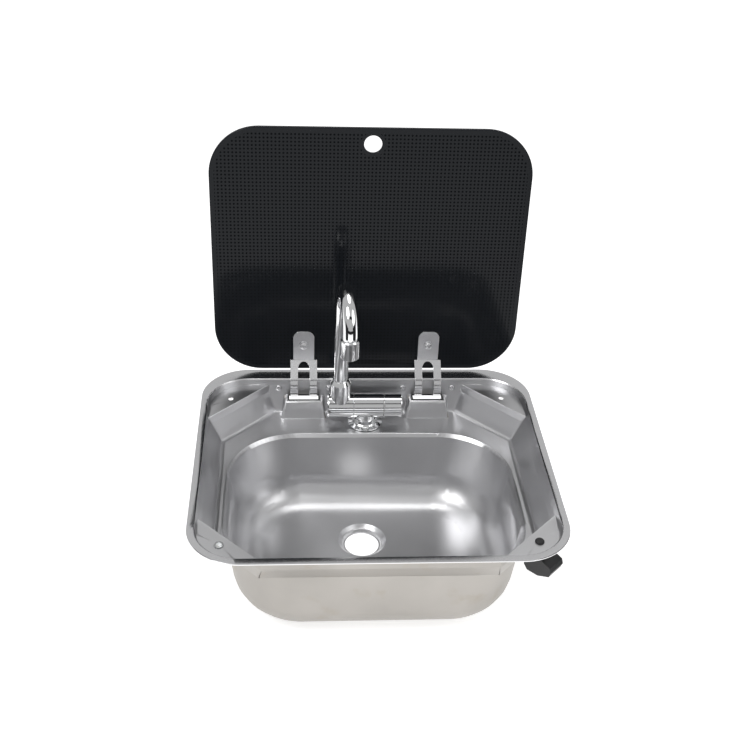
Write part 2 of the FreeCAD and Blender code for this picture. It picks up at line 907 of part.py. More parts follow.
def bumper_clear():
    """A push-in bumper: domed button above the ledge, neck and barb below."""
    body = new_body("bumper_clear")
    button, neck = S["bumper_dia"] / 2, S["ledge_hole_dia"] / 2 - 0.1
    barb = S["ledge_hole_dia"] / 2 + 0.6
    under = -S["sheet_thick"] - 0.2
    profile = [
        (0.0, -4.2),
        (1.8, -4.2),
        (barb, under - 0.6),
        (barb, under),
        (neck, under),
        (neck, 0.0),
        (button, 0.0),
        (button, S["bumper_rise"] * 0.4),
        (button * 0.82, S["bumper_rise"] * 0.82),
        (button * 0.45, S["bumper_rise"]),
        (0.0, S["bumper_rise"]),
    ]
    turn(body, profile)
    place(body, -hole_across, -front_hole_out, ledge_up)
    return keep("bumper_clear", body)


def bumper_black():
    """A cap with the same button, hollow underneath for the head of the clamp's screw."""
    body = new_body("bumper_black")
    button, cup = S["bumper_dia"] / 2, S["clamp_head_dia"] / 2 + 0.2
    profile = [
        (0.0, S["clamp_head_rise"] + 0.1),
        (cup, S["clamp_head_rise"] + 0.1),
        (cup, 0.0),
        (button, 0.0),
        (button, S["bumper_rise"] * 0.4),
        (button * 0.82, S["bumper_rise"] * 0.82),
        (button * 0.45, S["bumper_rise"]),
        (0.0, S["bumper_rise"]),
    ]
    turn(body, profile)
    place(body, hole_across, -front_hole_out, ledge_up)
    return keep("bumper_black", body)


def worktop_clamp():
    """A hooked claw under the front right ledge; its nose turns out below the worktop."""
    body = new_body("worktop_clamp")
    reach, back, drop = S["clamp_reach"], S["clamp_back"], S["clamp_drop"]
    profile = [
        (-back, 0.0),
        (reach / 2, 0.0),
        (reach / 2, -drop * 0.33),
        (reach, -drop * 0.45),
        (reach + 2, -drop * 0.63),
        (reach, -drop * 0.81),
        (reach * 0.42, -drop),
        (back * -0.45, -drop),
        (-back, -drop * 0.82),
    ]
    under_ledge = ledge_up - S["sheet_thick"] - 0.4
    pad(body, polygon(body, "XZ_Plane", profile), S["clamp_width"], both_ways=True)
    bore = S["clamp_screw_dia"] + 0.2
    pocket(body, circles(body, "XY_Plane", [(0.0, 0.0, bore)], CUT_OVER), drop + 2 * CUT_OVER)
    place(
        body,
        hole_across,
        -front_hole_out,
        under_ledge,
        Rotation(UP, -45),
    )
    return keep("worktop_clamp", body)


def clamp_screw():
    body = screw(
        "clamp_screw",
        S["clamp_screw_dia"],
        S["clamp_drop"] + 8.0,
        S["clamp_head_dia"],
        S["clamp_head_rise"],
        cross_recess(1.9, 0.45),
    )
    place(body, hole_across, -front_hole_out, ledge_up)
    return keep("clamp_screw", body)


bumper_clear()
bumper_black()
worktop_clamp()
clamp_screw()


# ------------------------------------------------------------------------------ hinges

standing = 90 - S["lid_lean"]
LID_TURN = Rotation(RIGHT, number(standing))
BACKWARD = Rotation(RIGHT, 90)


def on_lid(up_the_glass, off_the_glass):
    """A point of the open lid, in the sink's (back, up)."""
    back = lid_foot_back + up_the_glass * cosine(standing) - off_the_glass * sine(standing)
    up = lid_foot_up + up_the_glass * sine(standing) + off_the_glass * cosine(standing)
    return back, up


def round_pin(radius, degrees):
    """A point at a radius and an angle about the hinge pin, in the sink's (back, up)."""
    turned = math.radians(degrees)
    return S["pivot_back"] + radius * math.cos(turned), pivot_up + radius * math.sin(turned)


def tangent_angle(spot, radius):
    """The angle about the pin at which a line from the spot touches the circle."""
    back = number(spot[0]) - number(S["pivot_back"])
    up = number(spot[1]) - number(pivot_up)
    away = math.hypot(back, up)
    return math.degrees(math.atan2(up, back) + math.acos(number(radius) / away))


def strap_profile():
    """The strap from the side: eye, tail, sweep round the wall, bend and tongue."""
    outer = S["strap_radius"]
    inner = outer - S["strap_thick"]
    low, high = S["tongue_start"], S["tongue_start"] + S["tongue_length"]
    face = S["pad_thick"] + S["strap_thick"]
    bend = on_lid(low, face)
    touch = tangent_angle(bend, outer)
    tail = number(S["strap_tail_angle"])
    inner_tail = tail - math.degrees(math.asin(number(S["strap_thick"] / inner)))
    side = math.radians(tail - 90)
    shifted = (
        S["pivot_back"] + S["strap_thick"] * math.cos(side),
        pivot_up + S["strap_thick"] * math.sin(side),
    )
    slope = math.radians(touch - number(standing))
    inner_low = low + S["strap_thick"] * math.tan(slope / 2 - math.pi / 4)
    corners = [
        on_lid(high, face),
        bend,
        round_pin(outer, touch),
        round_pin(outer, tail),
        (S["pivot_back"], pivot_up),
        shifted,
        round_pin(inner, inner_tail),
        round_pin(inner, touch),
        on_lid(inner_low, S["pad_thick"]),
        on_lid(high, S["pad_thick"]),
    ]
    halfway = (touch + tail) / 2
    return corners, {2: round_pin(outer, halfway), 6: round_pin(inner, halfway)}


def strap_front():
    """The strap from the front: rounded tongue, shoulders and the gap between two arms."""
    half, wide = S["tongue_width"] / 2, S["strap_half_width"]
    low, high = S["tongue_start"], S["tongue_start"] + S["tongue_length"]
    turned = S["tongue_round"]
    bow = turned * QUARTER_TURN_SAG
    gap = S["strap_gap"] / 2
    crotch = low - S["strap_crotch"] - gap
    foot = -S["strap_radius"] * 4
    corners = [
        (-wide, foot),
        (-wide, low),
        (-half, low),
        (-half, high - turned),
        (turned - half, high),
        (half - turned, high),
        (half, high - turned),
        (half, low),
        (wide, low),
        (wide, foot),
        (gap, foot),
        (gap, crotch),
        (-gap, crotch),
        (-gap, foot),
    ]
    bows = {
        3: (bow - half, high - bow),
        5: (half - bow, high - bow),
        11: (0.0, crotch + gap),
    }
    return corners, bows


def hinge_arm(side, sign):
    across = S["hinge_across"] * sign
    seen_side = new_body(f"strap_side_{side}")
    corners, bows = strap_profile()
    outline = polygon(seen_side, "YZ_Plane", corners, 0.0, bows)
    wide = 2 * S["strap_half_width"]
    pad(seen_side, outline, wide, both_ways=True)
    pin = (S["pivot_back"], pivot_up)
    eye = circles(seen_side, "YZ_Plane", [(*pin, 2 * S["eye_round"])])
    pad(seen_side, eye, wide, both_ways=True)
    bore = circles(seen_side, "YZ_Plane", [(*pin, S["pin_dia"] + 2 * S["pin_fit"])])
    pocket(seen_side, bore, wide + 2, both_ways=True)
    place(seen_side, across=across)
    seen_front = new_body(f"strap_front_{side}")
    corners, bows = strap_front()
    outline = polygon(seen_front, "XY_Plane", corners, 0.0, bows)
    pad(seen_front, outline, S["strap_radius"] * 6, both_ways=True)
    bolt = [(0.0, S["lid_bolt_up"], S["lid_bolt_dia"] + S["lid_bolt_play"])]
    pocket(seen_front, circles(seen_front, "XY_Plane", bolt), wide, both_ways=True)
    place(seen_front, across, lid_foot_back, lid_foot_up, LID_TURN)
    arm = combine("Part::Common", f"hinge_arm_{side}", seen_side, seen_front)
    return keep(f"hinge_arm_{side}", arm)


def hinge_bracket(side, sign):
    """A plate on the wall's hidden face with two ears that carry the pin."""
    body = new_body(f"hinge_bracket_{side}")
    half, tall, thick = S["bracket_half"], S["bracket_half_height"], S["ear_thick"]
    plate_back = wall_rear_face + thick
    low, high = (-half, screw_up - tall), (half, screw_up + tall)
    pad(body, rounded_box(body, "XZ_Plane", low, high, S["bracket_round"], -plate_back), thick)
    curve = S["ear_round"]
    root = wall_rear_face + thick / 2
    profile = [
        (root, pivot_up - curve),
        (S["pivot_back"], pivot_up - curve),
        (S["pivot_back"], pivot_up + curve),
        (root, pivot_up + curve),
    ]
    bows = {1: (S["pivot_back"] + curve, pivot_up)}
    near = S["strap_half_width"] + S["ear_gap"]
    for inner_face in (near, -near - thick):
        pad(body, polygon(body, "YZ_Plane", profile, inner_face, bows), thick)
    bore = [(S["pivot_back"], pivot_up, S["pin_dia"] + 2 * S["pin_fit"])]
    pocket(body, circles(body, "YZ_Plane", bore), 4 * near, both_ways=True)
    holes = [(S["wall_screw_spread"] * way, screw_up, WALL_HOLE) for way in SIDES.values()]
    face = wall_rear_face - CUT_OVER
    pocket(body, circles(body, "XZ_Plane", holes, -face), thick + 2 * CUT_OVER)
    place(body, across=S["hinge_across"] * sign)
    return keep(f"hinge_bracket_{side}", body)


def hinge_pin(side, sign):
    body = new_body(f"hinge_pin_{side}")
    radius, head = S["pin_dia"] / 2, S["pin_head_dia"] / 2
    inside = S["strap_half_width"] + S["ear_gap"] + S["ear_thick"] + S["pin_fit"]
    outside = inside + S["pin_head_thick"]
    profile = [
        (-outside, 0.0),
        (-outside, head - 0.4),
        (0.4 - outside, head),
        (-inside, head),
        (-inside, radius),
        (inside, radius),
        (inside, head),
        (outside - 0.4, head),
        (outside, head - 0.4),
        (outside, 0.0),
    ]
    turn_level(body, profile, S["pivot_back"], pivot_up)
    place(body, across=S["hinge_across"] * sign)
    return keep(f"hinge_pin_{side}", body)


def wall_fixings(side, sign):
    """Two pan-head screws through the wall and the bracket, and their nuts behind."""
    screws, nuts = [], []
    thick = S["sheet_thick"] + S["ear_thick"]
    nut_thick = S["wall_nut_thick"]
    for way in SIDES.values():
        across = S["hinge_across"] * sign + S["wall_screw_spread"] * way
        spot = f"{side}_{'inner' if way * sign < 0 else 'outer'}"
        body = screw(
            f"wall_screw_{spot}",
            S["wall_screw_dia"],
            thick + nut_thick + 1.2,
            S["wall_head_dia"],
            S["wall_head_rise"],
            cross_recess(2.0, 0.5),
        )
        place(body, across, opening_back, screw_up, BACKWARD)
        screws.append(body)
        nut = hex_nut(
            f"wall_nut_{spot}",
            S["wall_nut_flats"],
            nut_thick,
            S["wall_screw_dia"] + 2 * S["pin_fit"],
        )
        place(nut, across, opening_back + thick + nut_thick, screw_up, BACKWARD)
        nuts.append(nut)
    group(f"wall_screws_{side}", screws)
    group(f"wall_nuts_{side}", nuts)


for side, sign in SIDES.items():
    hinge_bracket(side, sign)
    hinge_pin(side, sign)
    hinge_arm(side, sign)
    wall_fixings(side, sign)


# --------------------------------------------------------------------------------- lid

def glass_lid():
    body = new_body("glass_lid")
    half, tall, thick = S["lid_width"] / 2, S["lid_height"], S["lid_thick"]
    low, high = (-half, 0.0), (half, tall)
    pad(body, rounded_box(body, "XY_Plane", low, high, S["lid_corner"], -thick), thick)
    hole = S["lid_bolt_dia"] + S["lid_bolt_play"]
    rings = [(S["hinge_across"] * sign, S["lid_bolt_up"], hole) for sign in SIDES.values()]
    rings.append((0.0, tall - S["finger_hole_down"], S["finger_hole_dia"]))
    pocket(body, circles(body, "XY_Plane", rings, CUT_OVER), thick + 2 * CUT_OVER)
    soften(body, S["glass_edge_width"], outer_or_finger(half, tall))
    place(body, 0.0, lid_foot_back, lid_foot_up, LID_TURN)
    return keep("glass_lid", body)


def outer_or_finger(half, tall):
    """Picks the flat edges of the glass, but not those of its bolt holes."""
    bolt_line = number(S["lid_bolt_up"])

    def chosen(edge):
        box = edge.BoundBox
        level = box.ZMax - box.ZMin < 0.01
        at_bolt = abs(box.Center.y - bolt_line) < 5 and box.YMax - box.YMin < 8
        return level and not at_bolt

    return chosen


def lid_fixings():
    """Bolt, washers, soft pad and cap nut where each tongue holds the glass."""
    dia, wide = S["lid_bolt_dia"], S["washer_dia"]
    thin, pad_thick, glass = S["washer_thick"], S["pad_thick"], S["lid_thick"]
    front = pad_thick + S["strap_thick"]
    bolts, washers, pads, nuts = [], [], [], []
    for side, sign in SIDES.items():
        across = S["hinge_across"] * sign
        back, up = on_lid(S["lid_bolt_up"], 0.0)

        def on_bolt(piece, off_the_glass):
            along = off_the_glass * sine(standing)
            rise = off_the_glass * cosine(standing)
            place(piece, across, back - along, up + rise, LID_TURN)
            return piece

        shank = front + 2 * thin + glass + S["cap_nut_grip"]
        head = screw(
            f"lid_bolt_{side}",
            dia,
            shank,
            S["lid_head_dia"],
            S["lid_head_rise"],
            hexagon(S["lid_key_flats"]),
        )
        bolts.append(on_bolt(head, front + thin))
        for place_name, start in (("front", front), ("back", -glass - thin)):
            disc = ring(
                f"lid_washer_{place_name}_{side}",
                wide,
                dia + 2 * S["pin_fit"],
                0.0,
                thin,
            )
            washers.append(on_bolt(disc, start))
        nuts.append(on_bolt(cap_nut(f"cap_nut_{side}", dia), -glass - thin))
        pads.append(lid_pad(side, across))
    group("lid_bolts", bolts)
    group("lid_washers", washers)
    group("lid_pads", pads)
    group("lid_nuts", nuts)


def cap_nut(label, dia):
    """A domed nut below the origin, blind bored for the bolt's end."""
    body = new_body(label)
    flats, thick = S["cap_nut_flats"], S["cap_nut_thick"]
    pad(body, polygon(body, "XY_Plane", hexagon(flats), -thick), thick)
    dome = flats * 0.46
    profile = [
        (0.0, -thick - dome),
        (dome / 2, -thick - dome * math.sqrt(0.75)),
        (dome * math.sqrt(0.75), -thick - dome / 2),
        (dome, -thick),
        (dome, 0.5 - thick),
        (0.0, 0.5 - thick),
    ]
    turn(body, profile)
    bore = [(0.0, 0.0, dia + 2 * S["pin_fit"])]
    deep = S["cap_nut_grip"] + 0.4 + CUT_OVER
    pocket(body, circles(body, "XY_Plane", bore, CUT_OVER), deep)
    return body


def lid_pad(side, across):
    """A soft sheet between the glass and the tongue."""
    body = new_body(f"lid_pad_{side}")
    half = S["tongue_width"] / 2 - 0.5
    low = (-half, S["tongue_start"] + 2)
    high = (half, S["tongue_start"] + S["tongue_length"] - 0.5)
    pad(body, rounded_box(body, "XY_Plane", low, high, S["tongue_round"] - 1), S["pad_thick"])
    hole = [(0.0, S["lid_bolt_up"], S["lid_bolt_dia"] + S["lid_bolt_play"])]
    pocket(body, circles(body, "XY_Plane", hole, 2.0), 3.0)
    place(body, across, lid_foot_back, lid_foot_up, LID_TURN)
    return body


glass_lid()
lid_fixings()


# --------------------------------------------------------------------------------- tap

barrel = S["barrel_dia"] / 2
body_end_left = -S["tap_across"] - S["body_left"]
body_end_right = S["body_right"] - S["tap_across"]
journal_bore = S["journal_dia"] / 2 + S["running_fit"]
cartridge_bore = S["cartridge_dia"] / 2 + S["running_fit"]
water = S["water_way"] / 2
elbow_near = body_end_left - S["turn_gap"]
elbow_far = elbow_near - S["elbow_length"]
first_seal = elbow_near + S["seal_land"]
seal_starts = (first_seal, first_seal + S["seal_groove"] + S["seal_land"])
shank_bore = S["shank_dia"] / 2 + S["running_fit"]


def tap_body():
    """The fixed middle of the tap: a level barrel on a round stem, bored for its insides."""
    body = new_body("tap_body")
    edge = 0.6
    profile = [
        (body_end_left, 0.0),
        (body_end_left, barrel - edge),
        (body_end_left + edge, barrel),
        (body_end_right - edge, barrel),
        (body_end_right, barrel - edge),
        (body_end_right, 0.0),
    ]
    turn_level(body, profile, S["tap_back"], tap_up)
    stem = circles(body, "XY_Plane", [(-S["tap_across"], S["tap_back"], S["stem_dia"])], stem_foot)
    pad(body, stem, tap_up - stem_foot)
    hollow = [
        (body_end_left - CUT_OVER, 0.0),
        (body_end_left - CUT_OVER, journal_bore),
        (body_end_left + S["journal_length"] + 0.6, journal_bore),
        (body_end_left + S["journal_length"] + 0.6, water),
        (body_end_right - S["cartridge_length"], water),
        (body_end_right - S["cartridge_length"], cartridge_bore),
        (body_end_right + CUT_OVER, cartridge_bore),
        (body_end_right + CUT_OVER, 0.0),
    ]
    turn_level(body, hollow, S["tap_back"], tap_up, "PartDesign::Groove")
    inlet = [(0.0, 0.0), (water, 0.0), (water, tap_up - stem_foot), (0.0, tap_up - stem_foot)]
    socket = [
        (0.0, -CUT_OVER),
        (shank_bore, -CUT_OVER),
        (shank_bore, S["shank_grip"] + 0.3),
        (0.0, S["shank_grip"] + 0.3),
    ]
    for steps in (inlet, socket):
        raised = [(radius, stem_foot + height) for radius, height in steps]
        turn(body, raised, -S["tap_across"], S["tap_back"], "PartDesign::Groove")
    return keep("tap_body", body)


def at_tap(label, body):
    place(body, -S["tap_across"], S["tap_back"])
    return keep(label, body)


def tap_foot():
    """The flared ring round the stem, and the seal that the tap stands on."""
    ring_body = new_body("tap_base_ring")
    outer, bore = S["base_dia"] / 2, S["stem_dia"] / 2 + S["running_fit"]
    rise = S["base_rise"]
    profile = [
        (bore, 0.0),
        (outer, 0.0),
        (outer, rise * 0.14),
        (bore + (outer - bore) * 0.5, rise * 0.26),
        (bore + (outer - bore) * 0.24, rise * 0.5),
        (bore + 1.2, rise),
        (bore, rise),
    ]
    turn(ring_body, [(radius, stem_foot + height) for radius, height in profile])
    at_tap("tap_base_ring", ring_body)
    seal = ring("base_seal", S["base_seal_dia"], S["tap_hole_dia"] + 1.0, deck_up, stem_foot)
    at_tap("base_seal", seal)


def below_deck():
    """Threaded shank, backing washer, nut and hose tail, hidden under the deck."""
    under = deck_up - S["sheet_thick"]
    washer_foot = under - S["backing_thick"]
    nut_foot = washer_foot - S["locknut_thick"]
    shank_foot = under - S["shank_length"]
    shank = ring("tap_shank", S["shank_dia"], S["water_way"], shank_foot, stem_foot + S["shank_grip"])
    at_tap("tap_shank", shank)
    clear = S["shank_dia"] + 2 * S["running_fit"]
    washer = ring("backing_washer", S["backing_dia"], clear, washer_foot, under)
    at_tap("backing_washer", washer)
    nut = hex_nut("lock_nut", S["locknut_across"], S["locknut_thick"], clear)
    place(nut, -S["tap_across"], S["tap_back"], nut_foot)
    keep("lock_nut", nut)
    tail = new_body("hose_tail")
    spigot, bore, grip = S["hose_tail_dia"] / 2, S["hose_tail_bore"] / 2, S["tail_grip"]
    plug = water - S["running_fit"]
    flange = S["shank_dia"] / 2
    profile = [
        (bore, -S["hose_tail_length"] - 3.0),
        (spigot - 0.5, -S["hose_tail_length"] - 3.0),
        (spigot, -S["hose_tail_length"] - 2.5),
        (spigot, -3.0),
        (flange, -3.0),
        (flange, 0.0),
        (plug, 0.0),
        (plug, grip),
        (bore, grip),
    ]
    turn(tail, [(radius, shank_foot + height) for radius, height in profile])
    at_tap("hose_tail", tail)


def spout_elbow():
    """The folding left part: journal in the body, barrel, and the boss that holds the pipe."""
    body = new_body("spout_elbow")
    edge, big = 0.6, S["elbow_end_round"]
    journal = S["journal_dia"] / 2
    tip = elbow_near + S["journal_length"]
    groove, floor = S["seal_groove"], journal - S["seal_deep"]
    first, second = seal_starts
    profile = [
        (elbow_far, 0.0),
        (elbow_far, barrel - big),
        (elbow_far + big * QUARTER_TURN_SAG, barrel - big * QUARTER_TURN_SAG),
        (elbow_far + big, barrel),
        (elbow_near - edge, barrel),
        (elbow_near, barrel - edge),
        (elbow_near, journal),
        (first, journal),
        (first, floor),
        (first + groove, floor),
        (first + groove, journal),
        (second, journal),
        (second, floor),
        (second + groove, floor),
        (second + groove, journal),
        (tip, journal),
        (tip, 0.0),
    ]
    turn_level(body, profile, S["tap_back"], tap_up)
    at_pipe = {"across": -S["spout_across"], "back": S["tap_back"]}
    collar = S["collar_dia"] / 2
    boss_top = tap_up + S["collar_rise"]
    boss = [(0.0, tap_up), (collar, tap_up), (collar, boss_top), (0.0, boss_top)]
    turn(body, boss, **at_pipe)
    pipe_bore = S["spout_dia"] / 2 + S["running_fit"]
    seal_bore = S["swivel_seal_dia"] / 2 + 0.3
    foot = tap_up + S["spout_foot"] - 0.2
    seal_foot = boss_top - S["swivel_seal_high"] - 0.3
    well = [
        (0.0, tap_up - water),
        (water, tap_up - water),
        (water, foot),
        (pipe_bore, foot),
        (pipe_bore, seal_foot),
        (seal_bore, seal_foot),
        (seal_bore, boss_top + CUT_OVER),
        (0.0, boss_top + CUT_OVER),
    ]
    turn(body, well, kind="PartDesign::Groove", **at_pipe)
    level_way = S["elbow_way"] / 2
    passage = [
        (-S["spout_across"], 0.0),
        (-S["spout_across"], level_way),
        (tip + CUT_OVER, level_way),
        (tip + CUT_OVER, 0.0),
    ]
    turn_level(body, passage, S["tap_back"], tap_up, "PartDesign::Groove")
    thread = [(elbow_far + S["set_screw_in"], tap_up, S["set_screw_dia"] + 0.1)]
    front = -(S["tap_back"] - barrel - CUT_OVER)
    pocket(body, circles(body, "XZ_Plane", thread, front), S["set_screw_deep"] + CUT_OVER)
    return keep("spout_elbow", body)


def elbow_rings():
    """Two soft rings in the journal's grooves."""
    rings = []
    inner = S["journal_dia"] / 2 - S["seal_deep"]
    outer = journal_bore - 0.3
    for name, start in zip(("near", "far"), seal_starts):
        body = new_body(f"elbow_seal_{name}")
        low, high = start + 0.1, start + S["seal_groove"] - 0.1
        profile = [
            (low, inner),
            (low, outer - 0.5),
            (low + 0.5, outer),
            (high - 0.5, outer),
            (high, outer - 0.5),
            (high, inner),
        ]
        turn_level(body, profile, S["tap_back"], tap_up)
        rings.append(body)
    group("elbow_seals", rings)


def grub_screw(label, dia, length):
    """A headless screw below the origin, with a hexagon socket in its top."""
    body = new_body(label)
    radius = dia / 2
    profile = [
        (0.0, -length),
        (radius - 0.8, -length),
        (radius, 0.8 - length),
        (radius, -0.3),
        (radius - 0.3, 0.0),
        (0.0, 0.0),
    ]
    turn(body, profile)
    flats = hexagon(dia / 2)
    pocket(body, polygon(body, "XY_Plane", flats, CUT_OVER), length / 2 + CUT_OVER)
    return body


def elbow_fittings():
    collar, cap = S["collar_dia"] / 2, S["collar_cap"]
    boss_top = tap_up + S["collar_rise"]
    bore = S["spout_dia"] / 2 + S["running_fit"]
    nut = new_body("spout_collar")
    profile = [
        (bore, 0.0),
        (collar, 0.0),
        (collar, cap * 0.3),
        (collar - 3.2, cap),
        (bore, cap),
    ]
    turn(nut, [(radius, boss_top + height) for radius, height in profile])
    place(nut, -S["spout_across"], S["tap_back"])
    keep("spout_collar", nut)
    pin = grub_screw("elbow_set_screw", S["set_screw_dia"], S["set_screw_deep"] - 1.6)
    across = elbow_far + S["set_screw_in"]
    place(pin, across, S["tap_back"] - barrel + 1.2, tap_up, BACKWARD)
    keep("elbow_set_screw", pin)


SPOUT_TURN = Rotation(UP, -90 + number(S["spout_yaw"]))


def at_spout(label, body):
    """Stands a body on the pipe's axis with its own +X along the spout's reach."""
    place(body, -S["spout_across"], S["tap_back"], tap_up, SPOUT_TURN)
    return keep(label, body)


def spout_pipe():
    body = new_body("spout_pipe")
    outer = S["spout_dia"]
    inner = outer - 2 * S["spout_wall"]
    foot, shoulder, reach = S["spout_foot"], S["spout_arc_rise"], S["spout_reach"]
    profile = circles(body, "XY_Plane", [(0.0, 0.0, outer), (0.0, 0.0, inner)], foot)
    path = new_sketch(body, "XZ_Plane")
    bend = number(reach) / 2
    base = Vector(0, number(foot), 0)
    rise = Vector(0, number(shoulder), 0)
    crest = rise + Vector(bend, bend, 0)
    turned = rise + Vector(2 * bend, 0, 0)
    end = turned - Vector(0, number(S["nozzle_grip"]), 0)
    path.addGeometry(Part.LineSegment(base, rise), False)
    path.addGeometry(Part.Arc(rise, crest, turned), False)
    path.addGeometry(Part.LineSegment(turned, end), False)
    path.addConstraint(Sketcher.Constraint("Coincident", 0, 2, 1, 2))
    path.addConstraint(Sketcher.Constraint("Coincident", 1, 1, 2, 1))
    pin_point(path, 0, 1, (0.0, foot))
    pin_point(path, 0, 2, (0.0, shoulder))
    pin_point(path, 1, 3, (reach / 2, shoulder))
    path.addConstraint(Sketcher.Constraint("Horizontal", 1, 2, 1, 1))
    pin_point(path, 2, 2, (reach, shoulder - S["nozzle_grip"]))
    sweep = body.newObject("PartDesign::AdditivePipe", "Bent")
    sweep.Profile = profile
    sweep.Spine = path
    return at_spout("spout_pipe", body)


def spout_end():
    """Nozzle over the pipe's end, its perforated insert and the ring at the pipe's foot."""
    nozzle = new_body("nozzle")
    top = S["spout_arc_rise"]
    outer, length, grip = S["nozzle_dia"] / 2, S["nozzle_length"], S["nozzle_grip"]
    bore = S["spout_dia"] / 2 + S["running_fit"]
    seat = S["aerator_dia"] / 2 + S["running_fit"]
    profile = [
        (bore, 0.0),
        (outer - 1.0, 0.0),
        (outer, -1.0),
        (outer, 0.8 - length),
        (outer - 0.8, -length),
        (seat, -length),
        (seat, S["aerator_high"] + 1.0 - length),
        (seat - 1.5, S["aerator_high"] + 1.0 - length),
        (seat - 1.5, -grip),
        (bore, -grip),
    ]
    turn(nozzle, [(radius, top + height) for radius, height in profile], across=S["spout_reach"])
    at_spout("nozzle", nozzle)
    aerator = new_body("aerator")
    low = top - length + 1.0
    radius = S["aerator_dia"] / 2
    high = low + S["aerator_high"]
    disc = [(0.0, low), (radius, low), (radius, high), (0.0, high)]
    turn(aerator, disc, across=S["spout_reach"])
    jets = [(S["spout_reach"], 0.0, S["jet_dia"])]
    for step in range(JETS_AROUND):
        angle = 2 * math.pi * step / JETS_AROUND
        away = radius * 0.62
        spot = (S["spout_reach"] + away * math.cos(angle), away * math.sin(angle))
        jets.append((*spot, S["jet_dia"]))
    sieve = circles(aerator, "XY_Plane", jets, high + CUT_OVER)
    pocket(aerator, sieve, S["aerator_high"] + 2 * CUT_OVER)
    at_spout("aerator", aerator)
    seal = new_body("swivel_seal")
    inner, outside = S["spout_dia"] / 2, S["swivel_seal_dia"] / 2
    under = S["collar_rise"] - 0.3
    foot = under - S["swivel_seal_high"] + 0.3
    rounded = [
        (inner, foot),
        (outside - 0.4, foot),
        (outside, foot + 0.4),
        (outside, under - 0.4),
        (outside - 0.4, under),
        (inner, under),
    ]
    turn(seal, rounded)
    at_spout("swivel_seal", seal)


knob_ring_near = body_end_right + S["turn_gap"]
knob_near = knob_ring_near + S["knob_ring_thick"]
knob_far = knob_near + S["knob_length"]
grub_across = knob_far - S["knob_grub_in"]


def tap_knob():
    body = new_body("tap_knob")
    rim, skin, deep = barrel - 0.3, S["knob_skin"], S["knob_hollow"]
    hub = S["knob_hub_dia"] / 2
    spindle = S["spindle_dia"] / 2 + S["running_fit"]
    blind = knob_far - 4.0
    dome = 1.6
    profile = [
        (knob_near, rim - skin),
        (knob_near, rim - 0.4),
        (knob_near + 0.4, rim),
        (knob_far - dome, rim),
        (knob_far - dome * QUARTER_TURN_SAG, rim - dome * QUARTER_TURN_SAG),
        (knob_far, rim - dome),
        (knob_far, 0.0),
        (blind, 0.0),
        (blind, spindle),
        (knob_near + 1.0, spindle),
        (knob_near + 1.0, hub),
        (knob_near + deep, hub),
        (knob_near + deep, rim - skin),
    ]
    turn_level(body, profile, S["tap_back"], tap_up)
    hole = [(grub_across, S["tap_back"], S["set_screw_dia"] + 0.1)]
    start = tap_up - barrel - CUT_OVER
    pocket(body, circles(body, "XY_Plane", hole, start), barrel + CUT_OVER, against=True)
    return keep("tap_knob", body)


def knob_insides():
    around = new_body("knob_ring")
    outer = S["knob_ring_dia"] / 2
    bore = S["spindle_dia"] / 2 + S["running_fit"]
    profile = [
        (knob_ring_near, bore),
        (knob_ring_near, outer - 0.3),
        (knob_ring_near + 0.3, outer),
        (knob_near - 0.3, outer),
        (knob_near, outer - 0.3),
        (knob_near, bore),
    ]
    turn_level(around, profile, S["tap_back"], tap_up)
    keep("knob_ring", around)
    cartridge = new_body("valve_cartridge")
    start = body_end_right - S["cartridge_length"] + 0.1
    radius = S["cartridge_dia"] / 2
    waist = radius - 2.0
    bore = S["spindle_dia"] / 2 + S["running_fit"]
    profile = [
        (start, water - 1.5),
        (start, radius - 0.3),
        (start + 0.3, radius),
        (start + 4.0, radius),
        (start + 4.0, waist),
        (start + 8.0, waist),
        (start + 8.0, radius),
        (body_end_right - 0.2, radius),
        (body_end_right - 0.2, bore),
        (start + 5.0, bore),
        (start + 5.0, water - 1.5),
    ]
    turn_level(cartridge, profile, S["tap_back"], tap_up)
    keep("valve_cartridge", cartridge)
    spindle = new_body("valve_spindle")
    radius = S["spindle_dia"] / 2
    low, high = start + 5.2, knob_far - 4.4
    profile = [
        (low, 0.0),
        (low, radius),
        (high - 0.5, radius),
        (high, radius - 0.5),
        (high, 0.0),
    ]
    turn_level(spindle, profile, S["tap_back"], tap_up)
    keep("valve_spindle", spindle)
    length = barrel - 0.3 - S["spindle_dia"] / 2 - 1.6
    grub = grub_screw("knob_grub_screw", S["set_screw_dia"], length)
    place(grub, grub_across, S["tap_back"], tap_up - barrel + 1.6, Rotation(RIGHT, 180))
    keep("knob_grub_screw", grub)


tap_body()
tap_foot()
below_deck()
spout_elbow()
elbow_rings()
elbow_fittings()
spout_pipe()
spout_end()
tap_knob()
knob_insides()


# ------------------------------------------------------------------------------ export

def unsound(item):
    shape = getattr(item, "Shape", None)
    return shape is not None and not shape.isNull() and not shape.isValid()


def check_and_export():
    doc.recompute()
    broken = [
        f"{item.Label} of {', '.join(owner.Label for owner in item.InList)}"
        for item in doc.Objects
        if "Invalid" in item.State or "Error" in item.State or unsound(item)
    ]
    if broken:
        raise RuntimeError(f"does not build: {'; '.join(broken)}")
    os.makedirs("parts", exist_ok=True)
    for label, item in NODES.items():
        shape = item.Shape
        if shape.isNull() or not shape.isValid() or not shape.Solids:
            raise RuntimeError(f"{label} is not a sound solid")
        shape.exportStep(f"parts/{label}.step")
        print(label, len(shape.Solids), round(shape.Volume))


check_and_export()
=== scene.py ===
import json
import math

import bmesh
import bpy
from mathutils import Matrix, Vector
from mathutils.bvhtree import BVHTree


